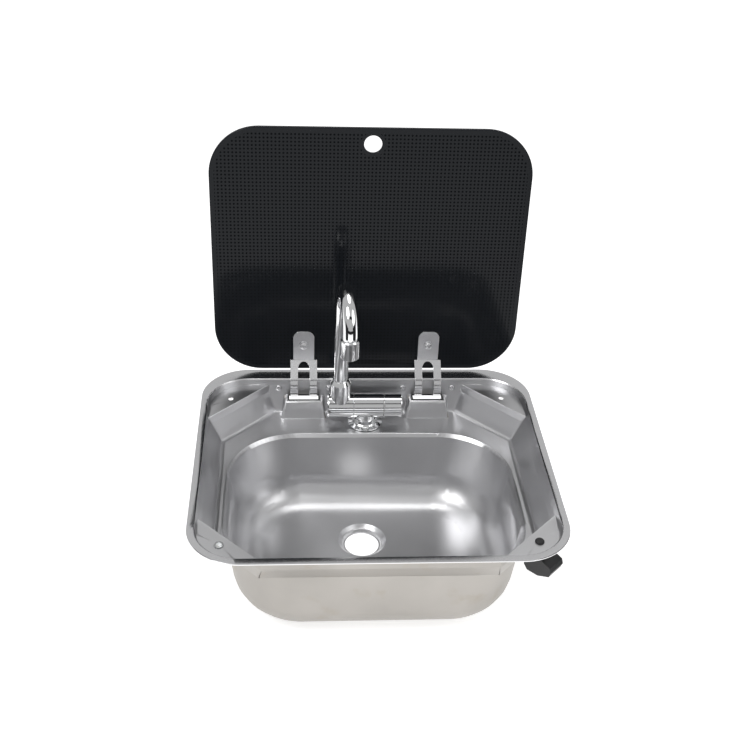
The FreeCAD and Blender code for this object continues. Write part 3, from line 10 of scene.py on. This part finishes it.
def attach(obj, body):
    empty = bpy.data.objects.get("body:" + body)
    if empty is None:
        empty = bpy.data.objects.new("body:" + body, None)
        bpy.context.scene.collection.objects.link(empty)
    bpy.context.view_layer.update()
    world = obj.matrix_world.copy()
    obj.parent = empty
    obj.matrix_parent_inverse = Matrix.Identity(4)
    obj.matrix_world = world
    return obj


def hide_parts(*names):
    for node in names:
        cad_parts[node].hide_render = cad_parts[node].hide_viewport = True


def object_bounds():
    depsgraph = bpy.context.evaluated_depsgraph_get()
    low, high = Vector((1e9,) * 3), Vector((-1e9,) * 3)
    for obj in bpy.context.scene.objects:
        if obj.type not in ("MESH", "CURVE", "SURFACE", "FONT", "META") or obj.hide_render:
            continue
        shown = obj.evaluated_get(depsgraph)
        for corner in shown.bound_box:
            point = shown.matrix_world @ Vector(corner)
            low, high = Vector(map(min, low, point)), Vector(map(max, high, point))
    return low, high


bl_info = {
    "name": "Camper sink dressing",
    "version": (1, 0, 0),
    "blender": (4, 5, 0),
    "location": "3D View > Sidebar > Sink",
    "description": "Finishes a drop-in sink with a glass lid and a folding tap",
    "category": "Object",
}

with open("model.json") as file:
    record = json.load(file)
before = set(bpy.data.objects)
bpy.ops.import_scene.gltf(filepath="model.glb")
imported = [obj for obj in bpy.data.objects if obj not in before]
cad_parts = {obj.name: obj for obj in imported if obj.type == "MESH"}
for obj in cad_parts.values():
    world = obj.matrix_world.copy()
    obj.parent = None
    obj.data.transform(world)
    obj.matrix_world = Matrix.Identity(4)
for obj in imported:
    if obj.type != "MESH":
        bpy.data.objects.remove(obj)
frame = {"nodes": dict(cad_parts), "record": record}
START_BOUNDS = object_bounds()
RECORD = frame["record"]
MM = 0.001
DECK_BELOW = -49.5 * MM
LEDGE_ABOVE = -5 * MM
RIM_EDGE_BELOW = -0.9 * MM
MERGE_WITHIN = 2e-6
SLIVER = 1e-6
SIDE_FLAG_TALL = 0.42
LID_HALF = 194.5 * MM
LID_TALL = 324.6 * MM
LID_CORNER = 60 * MM
LID_MIDDLE = 168.2 * MM
FINGER_HOLE = 310.5 * MM
CLEAR_EDGE = 6 * MM
CLEAR_ROUND_HOLE = 15 * MM


# ------------------------------------------------------------------------------ values

class SinkFinish(bpy.types.PropertyGroup):
    """Colours and roughness of the metals, the glass and the moulded parts."""

    steel_colour: bpy.props.FloatVectorProperty(
        name="Steel", description="Colour of the satin sheet steel",
        subtype="COLOR", size=3, default=(0.63, 0.63, 0.64), min=0, max=1)
    steel_rough: bpy.props.FloatProperty(
        name="Steel roughness", description="Roughness of the satin sheet steel",
        default=0.33, min=0, max=1, subtype="FACTOR")
    outside_colour: bpy.props.FloatVectorProperty(
        name="Outside", description="Colour of the unpolished outside of the basin",
        subtype="COLOR", size=3, default=(0.425, 0.405, 0.38), min=0, max=1)
    fold_width: bpy.props.FloatProperty(
        name="Fold", description="Width of the rounding along the tray's folds",
        default=0.0016, min=0, unit="LENGTH")
    chrome_colour: bpy.props.FloatVectorProperty(
        name="Chrome", description="Colour of the polished plating",
        subtype="COLOR", size=3, default=(0.83, 0.835, 0.84), min=0, max=1)
    glass_colour: bpy.props.FloatVectorProperty(
        name="Glass", description="Colour of the tinted lid",
        subtype="COLOR", size=3, default=(0.010, 0.0115, 0.014), min=0, max=1)
    dot_pitch: bpy.props.FloatProperty(
        name="Dot pitch", description="Spacing of the fine dots printed on the lid",
        default=0.0046, min=0.001, unit="LENGTH")
    dot_size: bpy.props.FloatProperty(
        name="Dot size", description="Diameter of each printed dot",
        default=0.0024, min=0.0005, unit="LENGTH")
    black_colour: bpy.props.FloatVectorProperty(
        name="Black", description="Colour of the black moulded parts",
        subtype="COLOR", size=3, default=(0.012, 0.012, 0.013), min=0, max=1)


class SinkStage(bpy.types.PropertyGroup):
    """Camera and light."""

    focal: bpy.props.FloatProperty(
        name="Lens", description="Focal length of the camera",
        default=53.98, min=1, unit="CAMERA")
    pitch: bpy.props.FloatProperty(
        name="Pitch", description="How far the camera looks down",
        default=math.radians(33.37), unit="ROTATION")
    yaw: bpy.props.FloatProperty(
        name="Yaw", description="How far the camera turns to the right",
        default=math.radians(4.88), unit="ROTATION")
    roll: bpy.props.FloatProperty(
        name="Roll", description="How far the camera leans",
        default=math.radians(2.63), unit="ROTATION")
    spot: bpy.props.FloatVectorProperty(
        name="Place", description="Where the camera stands",
        size=3, default=(-0.0925, -1.0558, 0.8132), subtype="TRANSLATION")


def finish():
    return bpy.context.scene.sink_finish


# --------------------------------------------------------------------------- materials

class Paint:
    """Builds one node material; made once for each name."""

    made = {}

    def __init__(self, name):
        self.material = bpy.data.materials.new(name)
        self.material.use_nodes = True
        self.nodes = self.material.node_tree.nodes
        self.links = self.material.node_tree.links
        self.shader = self.nodes["Principled BSDF"]
        self.place = None

    def node(self, kind, **settings):
        made = self.nodes.new(kind)
        for key, value in settings.items():
            setattr(made, key, value)
        return made

    def coordinates(self):
        if self.place is None:
            self.place = self.node("ShaderNodeTexCoord")
        return self.place.outputs["Object"]

    def mapped(self, scale):
        mapping = self.node("ShaderNodeMapping")
        mapping.inputs["Scale"].default_value = scale
        self.links.new(self.coordinates(), mapping.inputs["Vector"])
        return mapping.outputs["Vector"]

    def noise(self, scale, detail=3.0, vector=None):
        cloud = self.node("ShaderNodeTexNoise")
        cloud.inputs["Scale"].default_value = scale
        cloud.inputs["Detail"].default_value = detail
        self.links.new(vector or self.coordinates(), cloud.inputs["Vector"])
        return cloud.outputs["Fac"]

    def spread(self, value, low, high, start=0.0, stop=1.0):
        ranged = self.node("ShaderNodeMapRange")
        for key, number in zip(("From Min", "From Max", "To Min", "To Max"),
                               (start, stop, low, high)):
            ranged.inputs[key].default_value = number
        self.links.new(value, ranged.inputs["Value"])
        return ranged.outputs["Result"]

    def math(self, operation, first, second=None):
        step = self.node("ShaderNodeMath", operation=operation)
        for socket, value in zip(step.inputs, (first, second)):
            if value is None:
                continue
            if isinstance(value, (int, float)):
                socket.default_value = value
            else:
                self.links.new(value, socket)
        return step.outputs[0]

    def blend(self, factor, first, second):
        mixer = self.node("ShaderNodeMix", data_type="RGBA")
        self.links.new(factor, mixer.inputs["Factor"])
        for socket, value in (("A", first), ("B", second)):
            port = [i for i in mixer.inputs if i.name == socket and i.type == "RGBA"][0]
            if isinstance(value, tuple):
                port.default_value = (*value, 1.0) if len(value) == 3 else value
            else:
                self.links.new(value, port)
        return [o for o in mixer.outputs if o.type == "RGBA"][0]

    def bump(self, height, strength, distance):
        relief = self.node("ShaderNodeBump")
        relief.inputs["Strength"].default_value = strength
        relief.inputs["Distance"].default_value = distance
        self.links.new(height, relief.inputs["Height"])
        self.links.new(relief.outputs["Normal"], self.shader.inputs["Normal"])

    def set(self, **sockets):
        for key, value in sockets.items():
            socket = self.shader.inputs[key.replace("_", " ")]
            if isinstance(value, bpy.types.NodeSocket):
                self.links.new(value, socket)
            elif isinstance(value, (tuple, list)) and len(value) == 3:
                socket.default_value = (*value, 1.0)
            else:
                socket.default_value = value
        return self


def once(build):
    """A material function whose material is made the first time that it is asked for."""

    def ask():
        if build.__name__ not in Paint.made:
            Paint.made[build.__name__] = build().material
        return Paint.made[build.__name__]

    return ask


def shade(colour, factor):
    return tuple(min(1.0, channel * factor) for channel in colour)


@once
def satin_steel():
    """Pressed sheet steel: a soft grain, faint clouding and a little uneven gloss."""
    paint = Paint("satin_steel")
    colour = tuple(finish().steel_colour)
    cloud = paint.noise(9.0, 4.0)
    tint = paint.blend(paint.spread(cloud, 0, 1, 0.3, 0.7), shade(colour, 0.96),
                       shade(colour, 1.04))
    grain = paint.noise(900.0, 2.0)
    rough = paint.math("ADD", paint.spread(cloud, -0.03, 0.03, 0.3, 0.7),
                       paint.spread(grain, finish().steel_rough - 0.03,
                                    finish().steel_rough + 0.03))
    paint.bump(grain, 0.05, 0.0002)
    return paint.set(Base_Color=tint, Metallic=1.0, Roughness=rough)


@once
def bright_steel():
    """The same sheet where it was buffed: finer grain and more gloss."""
    paint = Paint("bright_steel")
    colour = shade(tuple(finish().steel_colour), 1.3)
    grain = paint.noise(700.0, 2.0, paint.mapped((1, 0.06, 1)))
    paint.bump(grain, 0.03, 0.0001)
    return paint.set(Base_Color=colour, Metallic=1.0,
                     Roughness=paint.spread(grain, 0.16, 0.24))


@once
def tray_steel():
    """The tray round the bowl: the satin sheet with a little more gloss."""
    paint = Paint("tray_steel")
    colour = shade(tuple(finish().steel_colour), 1.08)
    cloud = paint.noise(14.0, 3.0)
    grain = paint.noise(800.0, 2.0)
    rough = paint.math("ADD", paint.spread(cloud, 0.28, 0.34, 0.3, 0.7),
                       paint.spread(grain, -0.02, 0.02))
    return paint.set(Base_Color=colour, Metallic=1.0, Roughness=rough)


@once
def dull_steel():
    """The unpolished outside: warmer, with large soft stains and drawing marks."""
    paint = Paint("dull_steel")
    colour = tuple(finish().outside_colour)
    cloud = paint.noise(7.0, 5.0)
    tint = paint.blend(paint.spread(cloud, 0, 1, 0.35, 0.7), shade(colour, 1.06),
                       shade(colour, 0.86))
    stain = paint.noise(26.0, 4.0)
    tint = paint.blend(paint.spread(stain, 0, 0.5, 0.58, 0.72), tint,
                       (colour[0] * 0.86, colour[1] * 0.78, colour[2] * 0.66))
    marks = paint.noise(160.0, 3.0, paint.mapped((1, 1, 0.04)))
    paint.bump(marks, 0.06, 0.0003)
    return paint.set(Base_Color=tint, Metallic=1.0, Roughness=paint.spread(cloud, 0.36, 0.5))


@once
def plain_steel():
    """Zinc-grey fixings and brackets."""
    paint = Paint("plain_steel")
    cloud = paint.noise(160.0, 3.0)
    tint = paint.blend(cloud, (0.42, 0.42, 0.42), (0.56, 0.56, 0.555))
    return paint.set(Base_Color=tint, Metallic=1.0, Roughness=paint.spread(cloud, 0.26, 0.4))


@once
def chrome():
    paint = Paint("chrome")
    smear = paint.noise(45.0, 3.0)
    return paint.set(Base_Color=tuple(finish().chrome_colour), Metallic=1.0,
                     Roughness=paint.spread(smear, 0.035, 0.075))


@once
def raw_brass():
    paint = Paint("raw_brass")
    turned = paint.noise(1200.0, 2.0, paint.mapped((0.02, 0.02, 1)))
    tint = paint.blend(turned, (0.52, 0.37, 0.13), (0.62, 0.46, 0.18))
    paint.bump(turned, 0.08, 0.0001)
    return paint.set(Base_Color=tint, Metallic=1.0, Roughness=paint.spread(turned, 0.22, 0.36))


@once
def black_rubber():
    paint = Paint("black_rubber")
    speck = paint.noise(700.0, 3.0)
    paint.bump(speck, 0.15, 0.0002)
    return paint.set(Base_Color=tuple(finish().black_colour),
                     Roughness=paint.spread(speck, 0.5, 0.66))


@once
def black_plastic():
    paint = Paint("black_plastic")
    speck = paint.noise(1500.0, 2.0)
    paint.bump(speck, 0.2, 0.00015)
    return paint.set(Base_Color=shade(tuple(finish().black_colour), 1.3),
                     Roughness=paint.spread(speck, 0.34, 0.48))


@once
def clear_rubber():
    paint = Paint("clear_rubber")
    haze = paint.noise(300.0, 2.0)
    return paint.set(Base_Color=(0.80, 0.82, 0.83), Roughness=paint.spread(haze, 0.18, 0.3),
                     Transmission_Weight=0.7, IOR=1.42)


@once
def pale_plastic():
    paint = Paint("pale_plastic")
    haze = paint.noise(500.0, 2.0)
    return paint.set(Base_Color=(0.62, 0.62, 0.61), Roughness=paint.spread(haze, 0.35, 0.45))


@once
def dotted_glass():
    """Near-black toughened glass with a square grid of fine matt dots fired on it."""
    paint = Paint("dotted_glass")
    pitch, size = finish().dot_pitch, finish().dot_size
    place = paint.coordinates()
    split = paint.node("ShaderNodeSeparateXYZ")
    paint.links.new(place, split.inputs["Vector"])
    offsets = []
    for axis in ("X", "Z"):
        cell = paint.math("DIVIDE", split.outputs[axis], pitch)
        inside = paint.math("FRACT", paint.math("ADD", cell, 100.5))
        offsets.append(paint.math("SUBTRACT", inside, 0.5))
    away = paint.math("SQRT", paint.math("ADD", *[paint.math("MULTIPLY", o, o)
                                                  for o in offsets]))
    radius = size / pitch / 2
    dot = paint.spread(away, 1.0, 0.0, radius - 0.06, radius + 0.06)
    dot = paint.math("MULTIPLY", dot, printed_field(paint, split))
    glass = tuple(finish().glass_colour)
    tint = paint.blend(dot, glass, shade(glass, 0.45))
    return paint.set(Base_Color=tint, Roughness=paint.spread(dot, 0.1, 0.45), IOR=1.5,
                     Specular_IOR_Level=paint.spread(dot, 0.15, 0.03))


def printed_field(paint, split):
    """One inside the printed part of the lid, nought along its edge and by the finger hole."""
    steps = []
    for axis, middle, half in (("X", 0.0, LID_HALF), ("Z", LID_MIDDLE, LID_TALL / 2)):
        shifted = paint.math("SUBTRACT", split.outputs[axis], middle)
        past = paint.math("SUBTRACT", paint.math("ABSOLUTE", shifted), half - LID_CORNER)
        steps.append(paint.math("MAXIMUM", past, 0.0))
    reach = paint.math("SQRT", paint.math("ADD", *[paint.math("MULTIPLY", step, step)
                                                   for step in steps]))
    inside = paint.math("LESS_THAN", reach, LID_CORNER - CLEAR_EDGE)
    drop = paint.math("SUBTRACT", split.outputs["Z"], FINGER_HOLE)
    across = split.outputs["X"]
    away = paint.math("SQRT", paint.math("ADD", paint.math("MULTIPLY", across, across),
                                         paint.math("MULTIPLY", drop, drop)))
    return paint.math("MULTIPLY", inside, paint.math("GREATER_THAN", away, CLEAR_ROUND_HOLE))


# ------------------------------------------------------------------------------- shapes

def merged_copy(node, name, flatten=True):
    """A joined-up copy of a CAD node's mesh, its flat parts made one face each if asked."""
    source = frame["nodes"][node]
    shape = bmesh.new()
    shape.from_mesh(source.data)
    bmesh.ops.remove_doubles(shape, verts=shape.verts, dist=MERGE_WITHIN)
    bmesh.ops.dissolve_degenerate(shape, edges=shape.edges, dist=SLIVER)
    if flatten:
        bmesh.ops.dissolve_limit(shape, angle_limit=math.radians(0.6), verts=shape.verts,
                                 edges=shape.edges)
    return new_piece(name, shape)


def new_piece(name, shape):
    mesh = bpy.data.meshes.new(name)
    shape.to_mesh(mesh)
    shape.free()
    piece = bpy.data.objects.new(name, mesh)
    bpy.context.scene.collection.objects.link(piece)
    return piece


def dress(piece, material, body, nodes=()):
    piece.data.materials.clear()
    piece.data.materials.append(material)
    if nodes:
        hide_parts(*nodes)
    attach(piece, body)
    return piece


def smooth(piece, angle=32.0):
    """Smooth shading with crisp edges kept where faces turn by more than the angle."""
    for face in piece.data.polygons:
        face.use_smooth = True
    shape = bmesh.new()
    shape.from_mesh(piece.data)
    limit = math.radians(angle)
    for edge in shape.edges:
        edge.smooth = len(edge.link_faces) == 2 and edge.calc_face_angle(math.pi) < limit
    shape.to_mesh(piece.data)
    shape.free()


def break_edges(piece, width, segments=2, angle=32.0):
    rounding = piece.modifiers.new("broken_edges", "BEVEL")
    rounding.width = width
    rounding.segments = segments
    rounding.limit_method = "ANGLE"
    rounding.angle_limit = math.radians(angle)
    rounding.use_clamp_overlap = True
    rounding.harden_normals = True
    return rounding


def even_shading(piece):
    evened = piece.modifiers.new("even_shading", "WEIGHTED_NORMAL")
    evened.keep_sharp = True
    evened.weight = 80


def body_of_node(node):
    for body, nodes in RECORD["behaviour"]["bodies"].items():
        if node in nodes:
            return body
    raise ValueError(f"{node} rides on no body")


def refine(node, material, width=0.15 * MM, angle=32.0):
    """Stands a joined-up copy, with broken edges and even shading, in for a CAD node."""
    piece = merged_copy(node, f"{node}_piece")
    smooth(piece, angle)
    if width:
        break_edges(piece, width, 2, angle)
    even_shading(piece)
    return dress(piece, material, body_of_node(node), (node,))


# ---------------------------------------------------------------------------- operators

class Maker(bpy.types.Operator):
    """Shared by the operators: runs make and reports that it is done."""

    bl_options = {"REGISTER", "UNDO"}

    def execute(self, context):
        self.make(context)
        return {"FINISHED"}


class SINK_OT_stage(Maker):
    """Makes the camera, the pale floor and the soft studio light"""

    bl_idname = "sink.stage"
    bl_label = "Stage"

    def make(self, context):
        scene = context.scene
        scene.view_settings.view_transform = "Standard"
        self.camera(scene)
        self.floor(scene)
        self.flags()
        self.lights(scene)

    def camera(self, scene):
        values = scene.sink_stage
        pitch, yaw, roll = values.pitch, values.yaw, values.roll
        ahead = Vector((math.sin(yaw) * math.cos(pitch), math.cos(yaw) * math.cos(pitch),
                        -math.sin(pitch)))
        right = Vector((math.cos(yaw), -math.sin(yaw), 0))
        up = right.cross(ahead)
        rolled_right = math.cos(roll) * right + math.sin(roll) * up
        rolled_up = math.cos(roll) * up - math.sin(roll) * right
        turned = Matrix((rolled_right, rolled_up, -ahead)).transposed().to_4x4()
        data = bpy.data.cameras.new("camera")
        data.lens = values.focal
        data.sensor_width = 36.0
        camera = bpy.data.objects.new("camera", data)
        camera.matrix_world = Matrix.Translation(values.spot) @ turned
        scene.collection.objects.link(camera)
        scene.camera = camera

    def floor(self, scene):
        low = START_BOUNDS[0][2]
        shape = bmesh.new()
        bmesh.ops.create_grid(shape, x_segments=1, y_segments=1, size=6.0)
        bmesh.ops.translate(shape, verts=shape.verts, vec=(0, 0, low))
        floor = new_piece("floor", shape)
        paint = Paint("floor_paper")
        tooth = paint.noise(200.0, 2.0)
        paint.bump(tooth, 0.02, 0.0005)
        paint.set(Base_Color=(0.86, 0.86, 0.86), Roughness=0.9, Specular_IOR_Level=0.1)
        self.show_white(paint)
        floor.data.materials.append(paint.material)

    def flags(self):
        """Dark panels at the sides, in front and above that only show as stripes in gloss."""
        paint = Paint("flag_cloth")
        weave = paint.noise(400.0, 2.0)
        paint.set(Base_Color=(0.02, 0.02, 0.022), Roughness=paint.spread(weave, 0.8, 0.95),
                  Specular_IOR_Level=0.1)
        low = START_BOUNDS[0][2]
        beside = (low + MM, low + SIDE_FLAG_TALL)
        ahead = (low + 0.16, low + 0.46)
        overhead = (1.02, 1.34)
        for name, near, far, (bottom, top) in (
                ("flag_left", (-0.40, -0.52), (-0.60, -0.10), beside),
                ("flag_right", (0.34, -0.46), (0.52, 0.02), beside),
                ("flag_front", (-1.4, -1.7), (1.4, -1.7), ahead),
                ("flag_high", (-0.25, -0.95), (0.75, -0.95), overhead)):
            shape = bmesh.new()
            foot = [shape.verts.new((*spot, bottom)) for spot in (near, far)]
            head = [shape.verts.new((*spot, top)) for spot in (far, near)]
            shape.faces.new(foot + head)
            flag = new_piece(name, shape)
            flag.data.materials.append(paint.material)
            flag.visible_camera = False
            flag.visible_diffuse = False
            flag.visible_shadow = False
            flag.visible_transmission = False

    def show_white(self, paint):
        """Lifts the paper to white for the camera and in gloss, and keeps its shadow."""
        path = paint.node("ShaderNodeLightPath")
        seen = paint.math("MAXIMUM", path.outputs["Is Camera Ray"],
                          path.outputs["Is Glossy Ray"])
        seen = paint.math("MAXIMUM", seen, path.outputs["Is Transmission Ray"])
        glow = paint.math("MULTIPLY", seen, 0.62)
        paint.shader.inputs["Emission Color"].default_value = (1, 1, 1, 1)
        paint.links.new(glow, paint.shader.inputs["Emission Strength"])

    def lights(self, scene):
        world = bpy.data.worlds.new("studio")
        world.use_nodes = True
        scene.world = world
        nodes, links = world.node_tree.nodes, world.node_tree.links
        background = nodes["Background"]
        path = nodes.new("ShaderNodeLightPath")
        first = nodes.new("ShaderNodeMath")
        first.operation = "MAXIMUM"
        links.new(path.outputs["Is Camera Ray"], first.inputs[0])
        links.new(path.outputs["Is Transmission Ray"], first.inputs[1])
        level = nodes.new("ShaderNodeMapRange")
        level.inputs["To Min"].default_value = 0.5
        level.inputs["To Max"].default_value = 1.0
        links.new(first.outputs[0], level.inputs["Value"])
        links.new(level.outputs["Result"], background.inputs["Strength"])
        background.inputs["Color"].default_value = (1, 1, 1, 1)
        lamp(scene, "key", (-0.9, -0.7, 1.5), (0, 0, 0), 1.1, 13)
        lamp(scene, "fill", (1.2, -0.6, 1.0), (0, 0, 0), 1.2, 5.5)
        lamp(scene, "top", (0.1, 0.5, 1.7), (0, 0, 0), 0.9, 7)


def lamp(scene, name, spot, aim, size, power):
    data = bpy.data.lights.new(name, "AREA")
    data.shape = "DISK"
    data.size = size
    data.energy = power
    light = bpy.data.objects.new(name, data)
    direction = Vector(aim) - Vector(spot)
    light.matrix_world = (Matrix.Translation(spot)
                          @ direction.to_track_quat("-Z", "Y").to_matrix().to_4x4())
    scene.collection.objects.link(light)


class SINK_OT_basin(Maker):
    """Finishes the pressed basin"""

    bl_idname = "sink.basin"
    bl_label = "Basin"

    def make(self, context):
        piece = merged_copy("basin_shell", "basin_shell_piece", flatten=False)
        self.weigh_folds(piece)
        smooth(piece, 40.0)
        rounding = break_edges(piece, finish().fold_width, 3)
        rounding.limit_method = "WEIGHT"
        rounding.use_clamp_overlap = False
        rounding.face_strength_mode = "FSTR_AFFECTED"
        even_shading(piece)
        piece.modifiers["even_shading"].use_face_influence = True
        dress(piece, satin_steel(), "basin", ("basin_shell",))
        for more in (bright_steel(), dull_steel(), tray_steel()):
            piece.data.materials.append(more)
        self.sort_faces(piece)

    def weigh_folds(self, piece):
        """Marks the long folds of the tray and its ledges for rounding."""
        shape = bmesh.new()
        shape.from_mesh(piece.data)
        weight = shape.edges.layers.float.new("bevel_weight_edge")
        for edge in shape.edges:
            heights = [vert.co.z for vert in edge.verts]
            between = DECK_BELOW < min(heights) and max(heights) < LEDGE_ABOVE
            bends = len(edge.link_faces) == 2 and edge.calc_face_angle(0) > math.radians(4)
            if between and bends and edge.calc_length() > 8 * MM:
                edge[weight] = 1.0
        shape.to_mesh(piece.data)
        shape.free()

    def sort_faces(self, piece):
        """Satin inside the bowl, glossier in the tray, buffed on the rim and dull outside."""
        shape = bmesh.new()
        shape.from_mesh(piece.data)
        sheet = BVHTree.FromBMesh(shape)
        for face in shape.faces:
            middle = face.calc_center_median()
            above = sheet.ray_cast(middle + face.normal * 0.2 * MM, Vector((0, 0, 1)))
            if middle.z > RIM_EDGE_BELOW:
                face.material_index = 1
            elif above[0] is not None or face.normal.z < -0.5:
                face.material_index = 2
            else:
                face.material_index = 3 if middle.z > DECK_BELOW else 0
        shape.to_mesh(piece.data)
        shape.free()


class SINK_OT_lid(Maker):
    """Finishes the glass lid with its pads"""

    bl_idname = "sink.lid"
    bl_label = "Lid"

    def make(self, context):
        refine("glass_lid", dotted_glass(), 0.3 * MM)
        refine("lid_pads", black_rubber())


class SINK_OT_hinges(Maker):
    """Finishes the hinge straps, their brackets and pins and the slot linings"""

    bl_idname = "sink.hinges"
    bl_label = "Hinges"

    def make(self, context):
        for side in ("left", "right"):
            refine(f"hinge_arm_{side}", bright_steel(), 0.3 * MM)
            refine(f"hinge_bracket_{side}", plain_steel(), 0.2 * MM)
            refine(f"hinge_pin_{side}", plain_steel())
            refine(f"slot_trim_{side}", black_plastic(), 0.2 * MM)


class SINK_OT_fixings(Maker):
    """Finishes the bolts, screws, nuts, washers, buttons and the worktop clamp"""

    bl_idname = "sink.fixings"
    bl_label = "Fixings"

    def make(self, context):
        for side in ("left", "right"):
            refine(f"wall_screws_{side}", bright_steel())
            refine(f"wall_nuts_{side}", plain_steel())
        for node in ("lid_bolts", "lid_washers", "lid_nuts"):
            refine(node, bright_steel())
        refine("clamp_screw", plain_steel())
        refine("worktop_clamp", black_plastic(), 0.8 * MM)
        refine("bumper_clear", clear_rubber(), 0)
        refine("bumper_black", black_rubber(), 0)


class SINK_OT_tap(Maker):
    """Finishes the chromed tap and what it hides"""

    bl_idname = "sink.tap"
    bl_label = "Tap"

    def make(self, context):
        plated = ("tap_body", "tap_base_ring", "spout_elbow", "spout_collar", "spout_pipe",
                  "nozzle", "tap_knob", "knob_ring")
        for node in plated:
            refine(node, chrome(), 0.1 * MM)
        for node in ("tap_shank", "lock_nut", "hose_tail", "valve_cartridge",
                     "valve_spindle"):
            refine(node, raw_brass())
        for node in ("base_seal", "backing_washer", "elbow_seals", "swivel_seal"):
            refine(node, black_rubber())
        refine("aerator", pale_plastic(), 0)
        for node in ("elbow_set_screw", "knob_grub_screw"):
            refine(node, plain_steel())


class SINK_PT_panel(bpy.types.Panel):
    """Lists the sink's pieces"""

    bl_idname = "SINK_PT_panel"
    bl_label = "Camper sink"
    bl_space_type = "VIEW_3D"
    bl_region_type = "UI"
    bl_category = "Sink"

    def draw(self, context):
        for values in (context.scene.sink_stage, context.scene.sink_finish):
            for key in values.__annotations__:
                self.layout.prop(values, key)
        for maker in MAKERS:
            self.layout.operator(maker.bl_idname)


MAKERS = (SINK_OT_stage, SINK_OT_basin, SINK_OT_lid, SINK_OT_hinges, SINK_OT_fixings,
          SINK_OT_tap)
CLASSES = (SinkFinish, SinkStage, *MAKERS, SINK_PT_panel)


def register():
    for each in CLASSES:
        bpy.utils.register_class(each)
    bpy.types.Scene.sink_finish = bpy.props.PointerProperty(type=SinkFinish)
    bpy.types.Scene.sink_stage = bpy.props.PointerProperty(type=SinkStage)


def unregister():
    del bpy.types.Scene.sink_stage
    del bpy.types.Scene.sink_finish
    for each in reversed(CLASSES):
        bpy.utils.unregister_class(each)


def main():
    register()
    bpy.ops.sink.stage()
    bpy.ops.sink.basin()
    bpy.ops.sink.lid()
    bpy.ops.sink.hinges()
    bpy.ops.sink.fixings()
    bpy.ops.sink.tap()


if __name__ == "__main__":
    main()
